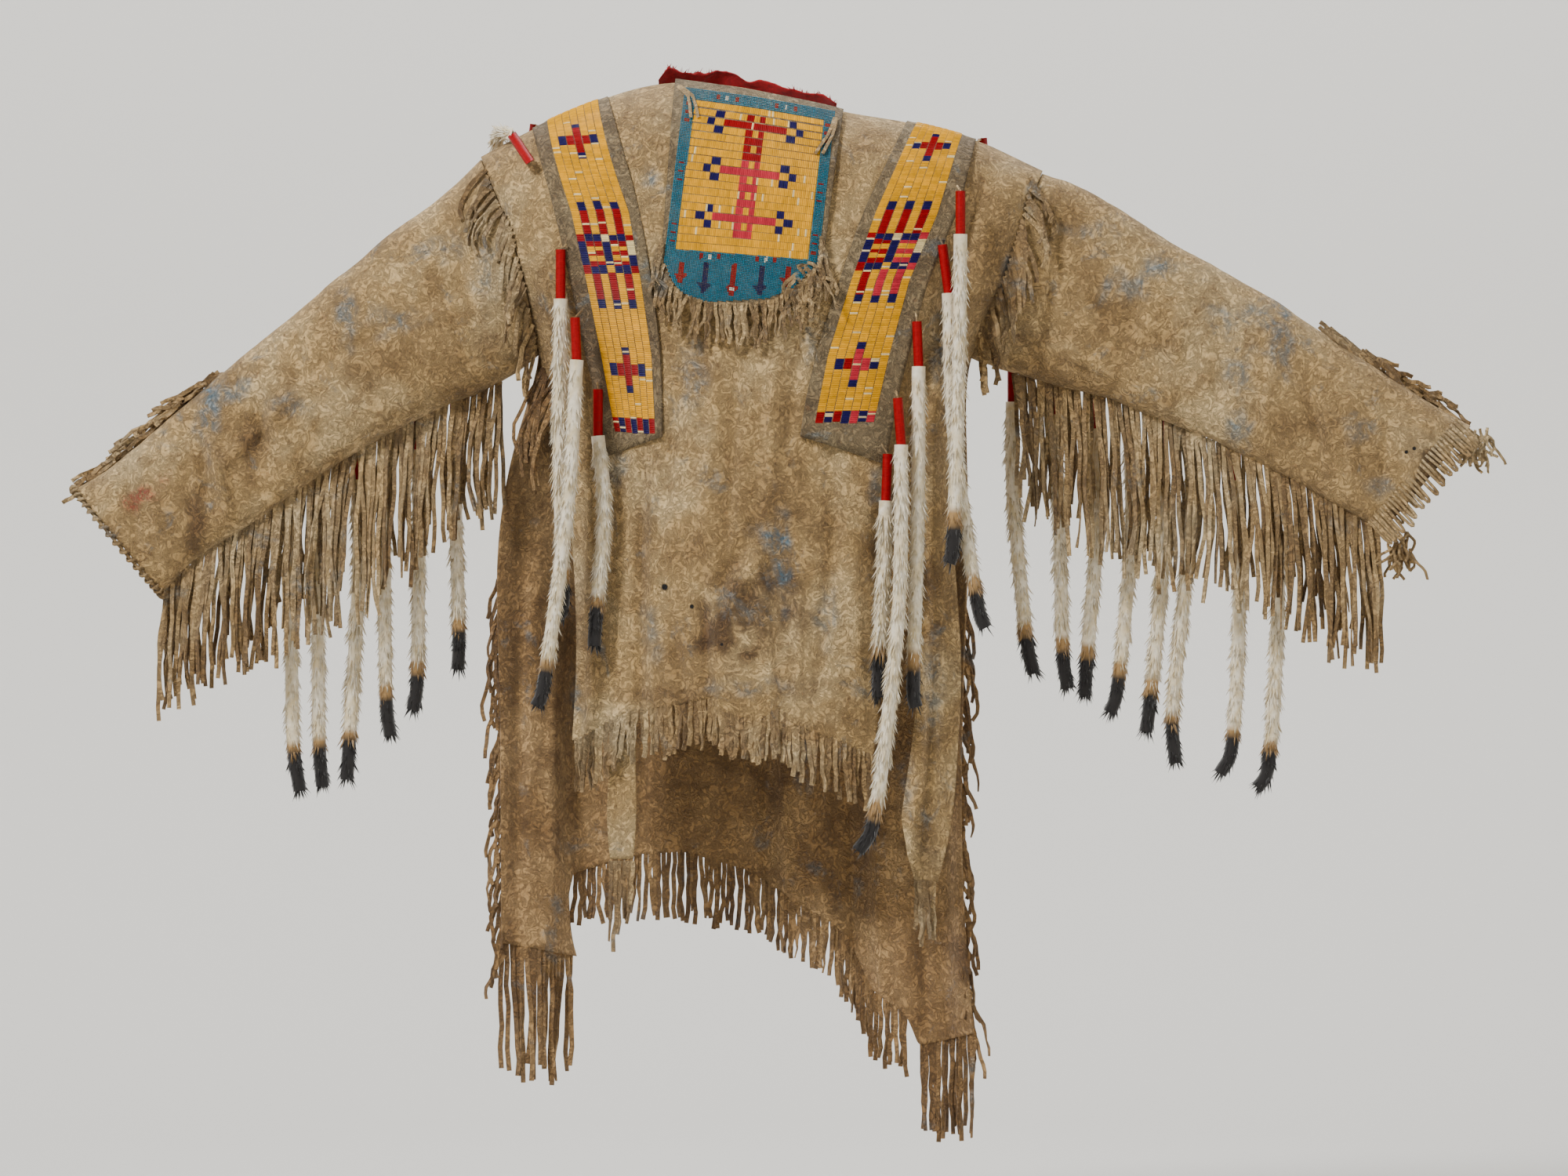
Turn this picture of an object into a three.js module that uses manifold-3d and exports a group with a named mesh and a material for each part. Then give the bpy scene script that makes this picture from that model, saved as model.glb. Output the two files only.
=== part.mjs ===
// A Plains war shirt of two tanned hides, filled out as it is worn, with nobody in it.
// Millimetres, +Z up. The front faces -Y, and left and right are as seen from the front.
// The origin lies inside the neck slit, level with the shoulder line beside it.
import * as THREE from "three";
import { mergeVertices } from "three/addons/utils/BufferGeometryUtils.js";
import Module from "manifold-3d";

const wasm = await Module();
wasm.setup();

// Driving sizes
const hideThick = 2;
const seamGap = 0.3;
const sleeveSeamGap = 0.9;
const armpitSlack = 1.2;
const bandThick = 2.2;
const quillRise = 1.2;
const bibThick = 2.4;
const woolThick = 1.6;
const neckHalfOpen = 46;
const armpitHalfGap = 6;
const backingHalf = 2.6;
const rollRadius = 5.2;
const thongRadius = 1.3;
const furRadius = 8.5;
const furEnd = 7.2;
const tipEnd = 2;

// Colours and gloss of the finishes
const finishes = {
  hide: { color: 0xb9a27c, roughness: 0.9 },
  innerHide: { color: 0x8f7450, roughness: 0.9 },
  quills: { color: 0xe2a912, roughness: 0.45 },
  beads: { color: 0x1f8fa8, roughness: 0.3 },
  wool: { color: 0xa5131b, roughness: 0.95 },
  ermine: { color: 0xe6dcc6, roughness: 0.95 },
};

// The shoulder line, where the two hides are sewn together
const shoulderLine = [
  { x: -307, z: -82 },
  { x: -247, z: -50 },
  { x: -161, z: -13 },
  { x: -84, z: 4 },
  { x: 20, z: -10 },
  { x: 108, z: -31 },
  { x: 182, z: -42 },
  { x: 260, z: -63 },
  { x: 337, z: -98 },
];

// Front hide, a row for each level: x of its left edge, of the two edges of each shoulder band, of the dip,
// middle and edge of its right foreleg, and under each of them, as d, how far forward the hide stands
const frontLevels = [
  { z: -150, side: -278, outL: -219, inL: -122, inR: 130, outR: 236, dip: 256, leg: 285, edge: 314,
    dSide: 56, dOutL: 84, dInL: 104, dMid: 114, dInR: 108, dOutR: 94, dDip: 80, dLeg: 78, dEdge: 56 },
  { z: -228, side: -253, outL: -201, inL: -109, inR: 103, outR: 202, dip: 232, leg: 264, edge: 295,
    dSide: 58, dOutL: 84, dInL: 110, dMid: 122, dInR: 116, dOutR: 98, dDip: 76, dLeg: 80, dEdge: 58 },
  { z: -313, side: -239, outL: -183, inL: -98, inR: 76, outR: 180, dip: 196, leg: 222, edge: 252,
    dSide: 10, dOutL: 66, dInL: 106, dMid: 122, dInR: 116, dOutR: 94, dDip: 66, dLeg: 72, dEdge: 10 },
  { z: -414, side: -215, outL: -161, inL: -96, inR: 57, outR: 156, dip: 178, leg: 210, edge: 233,
    dSide: 24, dOutL: 58, dInL: 98, dMid: 118, dInR: 112, dOutR: 88, dDip: 60, dLeg: 70, dEdge: 30 },
  { z: -540, side: -200, outL: -160, inL: -98, inR: 62, outR: 152, dip: 176, leg: 210, edge: 234,
    dSide: 26, dOutL: 54, dInL: 96, dMid: 112, dInR: 106, dOutR: 78, dDip: 56, dLeg: 68, dEdge: 42 },
  { z: -660, side: -196, outL: -158, inL: -98, inR: 66, outR: 150, dip: 176, leg: 212, edge: 243,
    dSide: 28, dOutL: 56, dInL: 92, dMid: 110, dInR: 100, dOutR: 72, dDip: 50, dLeg: 68, dEdge: 48 },
  { z: -760, side: -202, outL: -160, inL: -98, inR: 68, outR: 148, dip: 172, leg: 206, edge: 238,
    dSide: 30, dOutL: 62, dInL: 90, dMid: 106, dInR: 96, dOutR: 72, dDip: 46, dLeg: 70, dEdge: 52 },
  { z: -840, side: -204, outL: -160, inL: -98, inR: 66, outR: 146, dip: 164, leg: 200, edge: 232,
    dSide: 30, dOutL: 60, dInL: 88, dMid: 102, dInR: 94, dOutR: 70, dDip: 46, dLeg: 72, dEdge: 58 },
  { z: -925, side: -204, outL: -160, inL: -98, inR: 66, outR: 146, dip: 164, leg: 192, edge: 212,
    dSide: 30, dOutL: 60, dInL: 86, dMid: 100, dInR: 92, dOutR: 68, dDip: 48, dLeg: 72, dEdge: 62 },
];

// Back hide, a row for each level: x of its edges, and how far back its edges and its middle stand
const backLevels = [
  { z: -150, left: -278, right: 314, dEdge: 54, dMid: 104 },
  { z: -228, left: -253, right: 295, dEdge: 56, dMid: 112 },
  { z: -313, left: -239, right: 252, dEdge: 10, dMid: 114 },
  { z: -414, left: -270, right: 250, dEdge: 14, dMid: 112 },
  { z: -540, left: -290, right: 252, dEdge: 16, dMid: 108 },
  { z: -700, left: -286, right: 246, dEdge: 14, dMid: 104 },
  { z: -860, left: -285, right: 244, dEdge: 12, dMid: 98 },
  { z: -1000, left: -284, right: 250, dEdge: 10, dMid: 92 },
  { z: -1120, left: -283, right: 262, dEdge: 10, dMid: 88 },
];

// The cut lower edges of the hides, left to right
const frontCut = [
  { x: -199, z: -750 }, { x: -177, z: -741 }, { x: -139, z: -716 }, { x: -76, z: -708 }, { x: -40, z: -700 },
  { x: -28, z: -716 }, { x: 10, z: -727 }, { x: 35, z: -712 }, { x: 49, z: -730 }, { x: 101, z: -750 },
  { x: 142, z: -768 },
];
const splitCut = [
  { x: 150, z: -700 }, { x: 161, z: -632 }, { x: 172, z: -595 }, { x: 186, z: -640 }, { x: 195, z: -669 },
  { x: 187, z: -749 }, { x: 174, z: -837 }, { x: 181, z: -880 },
];
const forelegCut = [{ x: 189, z: -908 }, { x: 213, z: -912 }];
const leftLegCut = [{ x: -285, z: -984 }, { x: -240, z: -992 }, { x: -199, z: -1002 }];
const legSideCut = [{ x: -206, z: -975 }, { x: -208, z: -930 }];
const backCut = [
  { x: -203, z: -906 }, { x: -125, z: -885 }, { x: -76, z: -882 }, { x: -1, z: -904 }, { x: 49, z: -937 },
  { x: 101, z: -967 }, { x: 118, z: -988 }, { x: 143, z: -1043 }, { x: 182, z: -1068 }, { x: 194, z: -1100 },
];
const rightLegCut = [{ x: 198, z: -1104 }, { x: 230, z: -1097 }, { x: 259, z: -1088 }];

// The narrow tab that hangs from inside the front hem: x of its edges at each level
const tabLevels = [
  { z: -698, left: -158, right: -129 },
  { z: -780, left: -158, right: -129 },
  { z: -835, left: -163, right: -127 },
  { z: -885, left: -158, right: -131 },
];

// Rings of the sleeves below the seam: their top and lowest points, depth, and shift forward
const sleeveRings = {
  left: [
    { xTop: -355, zTop: -126, xLow: -283, zLow: -342, deep: 108, fore: 0 },
    { xTop: -463, zTop: -211, xLow: -372, zLow: -380, deep: 98, fore: 3 },
    { xTop: -580, zTop: -310, xLow: -485, zLow: -443, deep: 84, fore: 8 },
    { xTop: -652, zTop: -369, xLow: -562, zLow: -499, deep: 76, fore: 12 },
    { xTop: -724, zTop: -432, xLow: -622, zLow: -535, deep: 68, fore: 16 },
    { xTop: -770, zTop: -461, xLow: -668, zLow: -582, deep: 62, fore: 20 },
  ],
  right: [
    { xTop: 387, zTop: -117, xLow: 302, zLow: -333, deep: 108, fore: 0 },
    { xTop: 482, zTop: -176, xLow: 401, zLow: -356, deep: 100, fore: 2 },
    { xTop: 580, zTop: -230, xLow: 491, zLow: -392, deep: 92, fore: 6 },
    { xTop: 690, zTop: -304, xLow: 581, zLow: -432, deep: 82, fore: 10 },
    { xTop: 790, zTop: -368, xLow: 680, zLow: -484, deep: 74, fore: 16 },
    { xTop: 828, zTop: -389, xLow: 722, zLow: -514, deep: 70, fore: 18 },
  ],
};

// Large folds pressed into the hides: a line from a to b, its half width, and its rise out of the shirt,
// or less than nothing for a trough
const frontFolds = [
  { ax: -129, az: -470, bx: -129, bz: -735, wide: 15, rise: -9 },
  { ax: -180, az: -580, bx: -182, bz: -740, wide: 12, rise: 7 },
  { ax: -100, az: -480, bx: -60, bz: -640, wide: 26, rise: -5 },
  { ax: -22, az: -500, bx: -34, bz: -690, wide: 24, rise: 5 },
  { ax: 60, az: -480, bx: 36, bz: -705, wide: 22, rise: -6 },
  { ax: 96, az: -600, bx: 118, bz: -750, wide: 18, rise: 5 },
  { ax: 262, az: -115, bx: 202, bz: -313, wide: 16, rise: -8 },
  { ax: -255, az: -120, bx: -226, bz: -290, wide: 11, rise: 6 },
];
const backFolds = [
  { ax: -240, az: -560, bx: -238, bz: -1000, wide: 24, rise: -26 },
  { ax: -196, az: -600, bx: -192, bz: -900, wide: 16, rise: 18 },
  { ax: -60, az: -700, bx: -55, bz: -880, wide: 22, rise: -9 },
  { ax: 10, az: -740, bx: 22, bz: -925, wide: 15, rise: 22 },
  { ax: 58, az: -740, bx: 88, bz: -950, wide: 20, rise: -15 },
  { ax: 112, az: -780, bx: 130, bz: -1030, wide: 15, rise: 11 },
  { ax: 160, az: -820, bx: 178, bz: -1080, wide: 18, rise: -20 },
  { ax: 222, az: -860, bx: 228, bz: -1080, wide: 17, rise: 11 },
];
const sleeveFolds = {
  left: [
    { ax: -640, az: -395, bx: -620, bz: -540, wide: 15, rise: -12 },
    { ax: -575, az: -370, bx: -548, bz: -462, wide: 14, rise: -9 },
    { ax: -330, az: -190, bx: -290, bz: -320, wide: 20, rise: -5 },
    { ax: -450, az: -260, bx: -400, bz: -370, wide: 26, rise: 6 },
  ],
  right: [
    { ax: 300, az: -298, bx: 380, bz: -322, wide: 9, rise: -8 },
    { ax: 430, az: -285, bx: 540, bz: -365, wide: 13, rise: -7 },
    { ax: 560, az: -380, bx: 640, bz: -450, wide: 14, rise: -6 },
    { ax: 600, az: -300, bx: 690, bz: -400, wide: 20, rise: 5 },
  ],
};

// The bib: its two side edges, and how far it hangs at each share of its width
const bibSides = [
  { share: 0, xLeft: -83, zLeft: 1, xRight: 107, zRight: -33 },
  { share: 1, xLeft: -98, zLeft: -205, xRight: 80, zRight: -212 },
];
const bibDrops = [
  { share: 0, drop: 200 },
  { share: 0.12, drop: 240 },
  { share: 0.3, drop: 247 },
  { share: 0.7, drop: 238 },
  { share: 0.88, drop: 218 },
  { share: 1, drop: 178 },
];

// Ermine tails: x and z of the thong's root, of the roll's two ends, of the middle and end of the fur and of
// the black tip. lift holds one clear of the tails under it, and sink seats its thong deeper on the band.
const frontTails = [
  { name: "tail_left_1", rootX: -206, rootZ: -186, rollX: -213, rollZ: -192, endX: -213, endZ: -248,
    midX: -214, midZ: -430, furX: -210, furZ: -585, tipX: -218, tipZ: -610, lift: 0 },
  { name: "tail_left_2", rootX: -189, rootZ: -262, rollX: -196, rollZ: -270, endX: -194, endZ: -318,
    midX: -204, midZ: -480, furX: -230, furZ: -677, tipX: -240, tipZ: -710, lift: 34, sink: 0.9 },
  { name: "tail_left_3", rootX: -172, rootZ: -342, rollX: -171, rollZ: -350, endX: -171, endZ: -403,
    midX: -164, midZ: -490, furX: -174, furZ: -620, tipX: -175, tipZ: -642, lift: 3 },
  { name: "tail_right_1", rootX: 236, rootZ: -120, rollX: 240, rollZ: -127, endX: 240, endZ: -176,
    midX: 238, midZ: -330, furX: 232, furZ: -516, tipX: 227, tipZ: -548, lift: 24 },
  { name: "tail_right_2", rootX: 217, rootZ: -178, rollX: 220, rollZ: -187, endX: 227, endZ: -242,
    midX: 233, midZ: -400, furX: 258, furZ: -585, tipX: 269, tipZ: -621, lift: 0 },
  { name: "tail_right_3", rootX: 190, rootZ: -264, rollX: 191, rollZ: -274, endX: 193, endZ: -325,
    midX: 192, midZ: -500, furX: 187, furZ: -680, tipX: 190, tipZ: -711, lift: 3 },
  { name: "tail_right_4", rootX: 167, rootZ: -352, rollX: 169, rollZ: -361, endX: 173, endZ: -414,
    midX: 170, midZ: -600, furX: 144, furZ: -828, tipX: 124, tipZ: -873, lift: 24, sink: 0.7 },
  { name: "tail_right_5", rootX: 151, rootZ: -412, rollX: 158, rollZ: -424, endX: 156, endZ: -477,
    midX: 152, midZ: -580, furX: 148, furZ: -672, tipX: 148, tipZ: -700, lift: 5 },
];

// Tails behind the sleeves: x and z of the root, x at the middle of the fur, its end and the tip
const sleeveTails = {
  left: [
    { name: "tail_sleeve_left_1", rootX: -531, rootZ: -410, midX: -528,
      furX: -526, furZ: -746, tipX: -518, tipZ: -810 },
    { name: "tail_sleeve_left_2", rootX: -496, rootZ: -400, midX: -497,
      furX: -496, furZ: -746, tipX: -492, tipZ: -805 },
    { name: "tail_sleeve_left_3", rootX: -452, rootZ: -385, midX: -450,
      furX: -458, furZ: -706, tipX: -464, tipZ: -797 },
    { name: "tail_sleeve_left_4", rootX: -422, rootZ: -366, midX: -421,
      furX: -419, furZ: -698, tipX: -414, tipZ: -747 },
    { name: "tail_sleeve_left_5", rootX: -382, rootZ: -350, midX: -381,
      furX: -383, furZ: -678, tipX: -388, tipZ: -717 },
    { name: "tail_sleeve_left_6", rootX: -340, rootZ: -330, midX: -339,
      furX: -335, furZ: -621, tipX: -336, tipZ: -670 },
  ],
  right: [
    { name: "tail_sleeve_right_1", rootX: 304, rootZ: -295, midX: 305,
      furX: 320, furZ: -630, tipX: 329, tipZ: -675 },
    { name: "tail_sleeve_right_2", rootX: 350, rootZ: -310, midX: 358,
      furX: 362, furZ: -644, tipX: 368, tipZ: -692 },
    { name: "tail_sleeve_right_3", rootX: 402, rootZ: -326, midX: 402,
      furX: 390, furZ: -663, tipX: 388, tipZ: -700 },
    { name: "tail_sleeve_right_4", rootX: 440, rootZ: -338, midX: 441,
      furX: 426, furZ: -686, tipX: 416, tipZ: -720 },
    { name: "tail_sleeve_right_5", rootX: 474, rootZ: -352, midX: 478,
      furX: 463, furZ: -705, tipX: 458, tipZ: -742 },
    { name: "tail_sleeve_right_6", rootX: 512, rootZ: -366, midX: 506,
      furX: 489, furZ: -712, tipX: 492, tipZ: -778 },
    { name: "tail_sleeve_right_7", rootX: 562, rootZ: -386, midX: 566,
      furX: 558, furZ: -750, tipX: 543, tipZ: -790 },
    { name: "tail_sleeve_right_8", rootX: 606, rootZ: -402, midX: 610,
      furX: 600, furZ: -772, tipX: 586, tipZ: -806 },
  ],
};

// Tails thrown over the shoulders, a row for each station. seat puts one on a hide's band; elsewhere it has
// its own y, or none where the tail lies on the back.
const shoulderTails = {
  tail_shoulder_left_1: [
    { seat: "front", x: -236, z: -91, radius: thongRadius, sink: 0.6 },
    { x: -247, y: -82, z: -93, radius: thongRadius },
    { x: -248, y: -81, z: -92, radius: rollRadius },
    { x: -271, y: -30, z: -57, radius: rollRadius },
    { x: -275, y: -20, z: -55, radius: furRadius },
    { x: -288, y: 14, z: -55, radius: furRadius },
    { x: -290, y: 52, z: -82, radius: furRadius },
    { x: -282, z: -135, radius: furRadius },
    { x: -272, z: -180, radius: furRadius },
    { x: -262, z: -250, radius: furEnd },
    { x: -258, z: -285, radius: tipEnd },
  ],
  tail_shoulder_left_2: [
    { seat: "back", x: -232, z: -60, radius: thongRadius },
    { x: -246, y: 30, z: -42, radius: thongRadius },
    { x: -247, y: 31, z: -42, radius: rollRadius },
    { x: -254, y: 82, z: -78, radius: rollRadius },
    { x: -252, z: -110, radius: furRadius },
    { x: -238, z: -200, radius: furRadius },
    { x: -226, z: -320, radius: furEnd },
    { x: -222, z: -352, radius: tipEnd },
  ],
  tail_shoulder_right_1: [
    { seat: "back", x: 250, z: -74, radius: thongRadius },
    { x: 268, y: 28, z: -58, radius: thongRadius },
    { x: 269, y: 29, z: -58, radius: rollRadius },
    { x: 274, y: 80, z: -94, radius: rollRadius },
    { x: 272, z: -130, radius: furRadius },
    { x: 256, z: -210, radius: furRadius },
    { x: 238, z: -320, radius: furEnd },
    { x: 232, z: -352, radius: tipEnd },
  ],
};

const down = new THREE.Vector3(0, 0, -1);
const mix = (a, b, f) => a + (b - a) * f;
const point = (x, y, z) => new THREE.Vector3(x, y, z);
const steps = (from, to, count) => Array.from({ length: count + 1 }, (_, i) => mix(from, to, i / count));

// The same stray values on each run
let stray = 12345;
function chance() {
  stray = (stray * 1103515245 + 12345) % 2147483648;
  return stray / 2147483648;
}
const about = (spread) => (2 * chance() - 1) * spread;

// A point between the points of a list, on a smooth curve that passes through each of them
function between(list, t) {
  const last = list.length - 1;
  const i = Math.min(Math.max(Math.floor(t), 0), last - 1);
  const f = t - i;
  const a = list[i];
  const b = list[i + 1];
  const before = i > 0 ? list[i - 1] : a.clone().multiplyScalar(2).sub(b);
  const after = i + 2 <= last ? list[i + 2] : b.clone().multiplyScalar(2).sub(a);
  const curve = (p0, p1, p2, p3) =>
    p1 + 0.5 * f * (p2 - p0 + f * (2 * p0 - 5 * p1 + 4 * p2 - p3 + f * (3 * p1 - p0 - 3 * p2 + p3)));
  return point(
    curve(before.x, a.x, b.x, after.x),
    curve(before.y, a.y, b.y, after.y),
    curve(before.z, a.z, b.z, after.z),
  );
}

// A point at a share of a line's length
function alongLine(line, share) {
  const lengths = line.slice(1).map((p, i) => p.distanceTo(line[i]));
  let left = share * lengths.reduce((sum, length) => sum + length, 0);
  let i = 0;
  while (i < lengths.length - 1 && left > lengths[i]) left -= lengths[i++];
  return line[i].clone().lerp(line[i + 1], left / lengths[i]);
}

// A value read from a table at a share, straight between its rows
function fromTable(rows, share, column) {
  const next = Math.max(1, rows.findIndex((row) => row.share >= share));
  const a = rows[next - 1];
  const b = rows[next];
  return mix(a[column], b[column], (share - a.share) / (b.share - a.share));
}

// How far the folds move a point of the hide out
function foldRise(folds, x, z) {
  let rise = 0;
  for (const f of folds) {
    const dx = f.bx - f.ax;
    const dz = f.bz - f.az;
    const share = Math.min(Math.max(((x - f.ax) * dx + (z - f.az) * dz) / (dx * dx + dz * dz), 0), 1);
    const away = Math.hypot(x - f.ax - share * dx, z - f.az - share * dz) / f.wide;
    rise += f.rise * Math.exp(-away * away);
  }
  return rise;
}

// A grid of points on a lattice of sections, with the folds pushed out (forward is -1, back is 1)
function onLattice(rows, across, levels, folds, out) {
  return levels.map((b) =>
    across.map((a) => {
      const p = between(rows.map((row) => between(row, a)), b);
      const least = b === 0 ? seamGap / 2 : armpitHalfGap;
      p.y = out * Math.max(out * p.y + foldRise(folds, p.x, p.z), least);
      return p;
    }),
  );
}

// A grid with its normals, which point away from the wearer; a ring's first column is its last one too
function surfaceOn(grid, turn, ring = false) {
  const rows = grid.length;
  const cols = grid[0].length;
  const normals = grid.map((row, j) =>
    row.map((_, i) => {
      const left = ring && i === 0 ? cols - 2 : Math.max(i - 1, 0);
      const right = ring && i === cols - 1 ? 1 : Math.min(i + 1, cols - 1);
      const across = row[right].clone().sub(row[left]);
      const along = grid[Math.min(j + 1, rows - 1)][i].clone().sub(grid[Math.max(j - 1, 0)][i]);
      return along.cross(across).normalize().multiplyScalar(turn);
    }),
  );
  return { grid, normals, ring };
}

// A hide's surface, square to the shoulder seam at its first row
function hideOn(grid, turn) {
  const surface = surfaceOn(grid, turn);
  for (const normal of surface.normals[0]) normal.setY(0).normalize();
  return surface;
}

// Where a surface is met when looked for at x and z: the point and normal that stand furthest forward
// (toward -1) or furthest back (toward 1), or nothing beside the surface
function meet(surface, x, z, toward = -1) {
  let best = null;
  const { grid, normals } = surface;
  for (let j = 0; j < grid.length - 1; j++)
    for (let i = 0; i < grid[0].length - 1; i++)
      for (const [a, b, c] of [[[j, i], [j + 1, i], [j + 1, i + 1]], [[j, i], [j + 1, i + 1], [j, i + 1]]]) {
        const [p, q, r] = [a, b, c].map(([m, n]) => grid[m][n]);
        const area = (q.x - p.x) * (r.z - p.z) - (r.x - p.x) * (q.z - p.z);
        if (Math.abs(area) < 1e-9) continue;
        const v = ((x - p.x) * (r.z - p.z) - (r.x - p.x) * (z - p.z)) / area;
        const w = ((q.x - p.x) * (z - p.z) - (x - p.x) * (q.z - p.z)) / area;
        if (v < -1e-6 || w < -1e-6 || v + w > 1 + 1e-6) continue;
        const spot = p.clone().multiplyScalar(1 - v - w).addScaledVector(q, v).addScaledVector(r, w);
        if (best && (spot.y - best.spot.y) * toward <= 0) continue;
        const [l, m, n] = [a, b, c].map(([s, t]) => normals[s][t]);
        const way = l.clone().multiplyScalar(1 - v - w).addScaledVector(m, v).addScaledVector(n, w);
        best = { spot, way: way.normalize() };
      }
  return best;
}

// The same for a place that may lie a little outside the surface's side edges
function meetNear(surface, x, z, toward) {
  for (let inward = 1; inward > 0.9; inward -= 0.005) {
    const met = meet(surface, inward * x, z, toward);
    if (met) return met;
  }
  return null;
}

// A closed wall on a surface: its outer face lies outer mm along the normals and its inner face inner mm
function wallOn(surface, inner, outer, raise = () => 0) {
  const { grid, normals, ring } = surface;
  const rows = grid.length;
  const cols = ring ? grid[0].length - 1 : grid[0].length;
  const positions = [];
  for (const face of ["outer", "inner"])
    for (let j = 0; j < rows; j++)
      for (let i = 0; i < cols; i++) {
        const move = face === "outer" ? outer + raise(i, j) : inner;
        const p = grid[j][i].clone().addScaledVector(normals[j][i], move);
        positions.push(p.x, p.y, p.z);
      }
  const half = rows * cols;
  const at = (i, j) => j * cols + (i % cols);
  const index = [];
  const quad = (a, b, c, d) => index.push(a, b, c, a, c, d);
  const spans = ring ? cols : cols - 1;
  for (let j = 0; j < rows - 1; j++)
    for (let i = 0; i < spans; i++) {
      quad(at(i, j), at(i, j + 1), at(i + 1, j + 1), at(i + 1, j));
      quad(half + at(i, j), half + at(i + 1, j), half + at(i + 1, j + 1), half + at(i, j + 1));
    }
  for (let i = 0; i < spans; i++) {
    quad(at(i, 0), at(i + 1, 0), half + at(i + 1, 0), half + at(i, 0));
    quad(at(i, rows - 1), half + at(i, rows - 1), half + at(i + 1, rows - 1), at(i + 1, rows - 1));
  }
  if (!ring)
    for (let j = 0; j < rows - 1; j++) {
      quad(at(0, j), half + at(0, j), half + at(0, j + 1), at(0, j + 1));
      quad(at(cols - 1, j), at(cols - 1, j + 1), half + at(cols - 1, j + 1), half + at(cols - 1, j));
    }
  return facingOut(positions, index);
}

// A geometry from points and faces, turned right side out
function facingOut(positions, index) {
  let volume = 0;
  const corner = (k) => point(positions[3 * k], positions[3 * k + 1], positions[3 * k + 2]);
  for (let t = 0; t < index.length; t += 3)
    volume += corner(index[t]).dot(corner(index[t + 1]).cross(corner(index[t + 2])));
  if (volume < 0)
    for (let t = 0; t < index.length; t += 3) [index[t + 1], index[t + 2]] = [index[t + 2], index[t + 1]];
  const made = new THREE.BufferGeometry();
  made.setAttribute("position", new THREE.Float32BufferAttribute(positions, 3));
  made.setIndex(index);
  return made;
}

// A closed rod through points, with its own radius at each and flat ends. Four sides give a cut thong, which
// is flat: thin is its thickness over its width.
function rodOn(points, radii, sides, thin = 1, width = null) {
  const positions = [];
  const index = [];
  points.forEach((p, j) => {
    const ahead = points[Math.min(j + 1, points.length - 1)];
    const behind = points[Math.max(j - 1, 0)];
    const way = ahead.clone().sub(behind).normalize();
    const guide = width ?? (Math.abs(way.x) > 0.8 ? point(0, 0, 1) : point(1, 0, 0));
    const side = guide.clone().addScaledVector(way, -guide.dot(way)).normalize();
    const front = way.clone().cross(side);
    for (let i = 0; i < sides; i++) {
      const turn = (2 * Math.PI * (i + 0.5)) / sides;
      const q = p.clone().addScaledVector(side, radii[j] * Math.cos(turn));
      q.addScaledVector(front, thin * radii[j] * Math.sin(turn));
      positions.push(q.x, q.y, q.z);
    }
  });
  const at = (i, j) => j * sides + (i % sides);
  for (let j = 0; j < points.length - 1; j++)
    for (let i = 0; i < sides; i++)
      index.push(at(i, j), at(i, j + 1), at(i + 1, j + 1), at(i, j), at(i + 1, j + 1), at(i + 1, j));
  const end = points.length - 1;
  for (let i = 1; i < sides - 1; i++) {
    index.push(at(0, 0), at(i, 0), at(i + 1, 0));
    index.push(at(0, end), at(i + 1, end), at(i, end));
  }
  return facingOut(positions, index);
}

// Solids for joins and cuts, and back
function solidOf(geometry) {
  geometry.deleteAttribute("normal");
  geometry.deleteAttribute("uv");
  const merged = mergeVertices(geometry, 1e-3);
  return new wasm.Manifold(
    new wasm.Mesh({
      numProp: 3,
      vertProperties: merged.attributes.position.array,
      triVerts: new Uint32Array(merged.index.array),
    }),
  );
}

function geometryOf(solid) {
  const mesh = solid.getMesh();
  const made = new THREE.BufferGeometry();
  made.setAttribute("position", new THREE.BufferAttribute(mesh.vertProperties, 3));
  made.setIndex(new THREE.BufferAttribute(mesh.triVerts, 1));
  return made;
}

// A hide cut along its lower edge
function cutHide(surface, cut) {
  const reach = 400;
  const outline = new THREE.Shape();
  outline.moveTo(-reach, reach);
  outline.lineTo(-reach, cut[0].z);
  for (const { x, z } of cut) outline.lineTo(x, z);
  outline.lineTo(reach, cut.at(-1).z);
  outline.lineTo(reach, reach);
  const block = new THREE.ExtrudeGeometry(outline, { depth: 2 * reach, bevelEnabled: false });
  block.translate(0, 0, -reach).rotateX(Math.PI / 2);
  return geometryOf(solidOf(wallOn(surface, -hideThick / 2, hideThick / 2)).intersect(solidOf(block)));
}

const shirt = new THREE.Group();
function add(name, geometry, finish) {
  const material = new THREE.MeshStandardMaterial({ ...finishes[finish], metalness: 0 });
  const mesh = new THREE.Mesh(geometry, material);
  mesh.name = name;
  shirt.add(mesh);
}

// The shoulder line as points, smooth between its rows
const shoulderPoints = shoulderLine.map(({ x, z }) => point(x, 0, z));
const shoulderCurve = steps(0, shoulderLine.length - 1, 160).map((t) => between(shoulderPoints, t));
function shoulderHeight(x) {
  const next = Math.max(1, shoulderCurve.findIndex((p) => p.x >= x));
  const a = shoulderCurve[next - 1];
  const b = shoulderCurve[next];
  return mix(a.z, b.z, (x - a.x) / (b.x - a.x));
}

// Columns of the hides at the shoulder line, and half of the neck slit's width at each
const topColumns = [-307, -247, -161, -84, 12, 108, 182, 260, 290, 316, 337];
const slit = [0, 0, 0, 5, neckHalfOpen, 5, 0, 0, 0, 0, 0];

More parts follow.
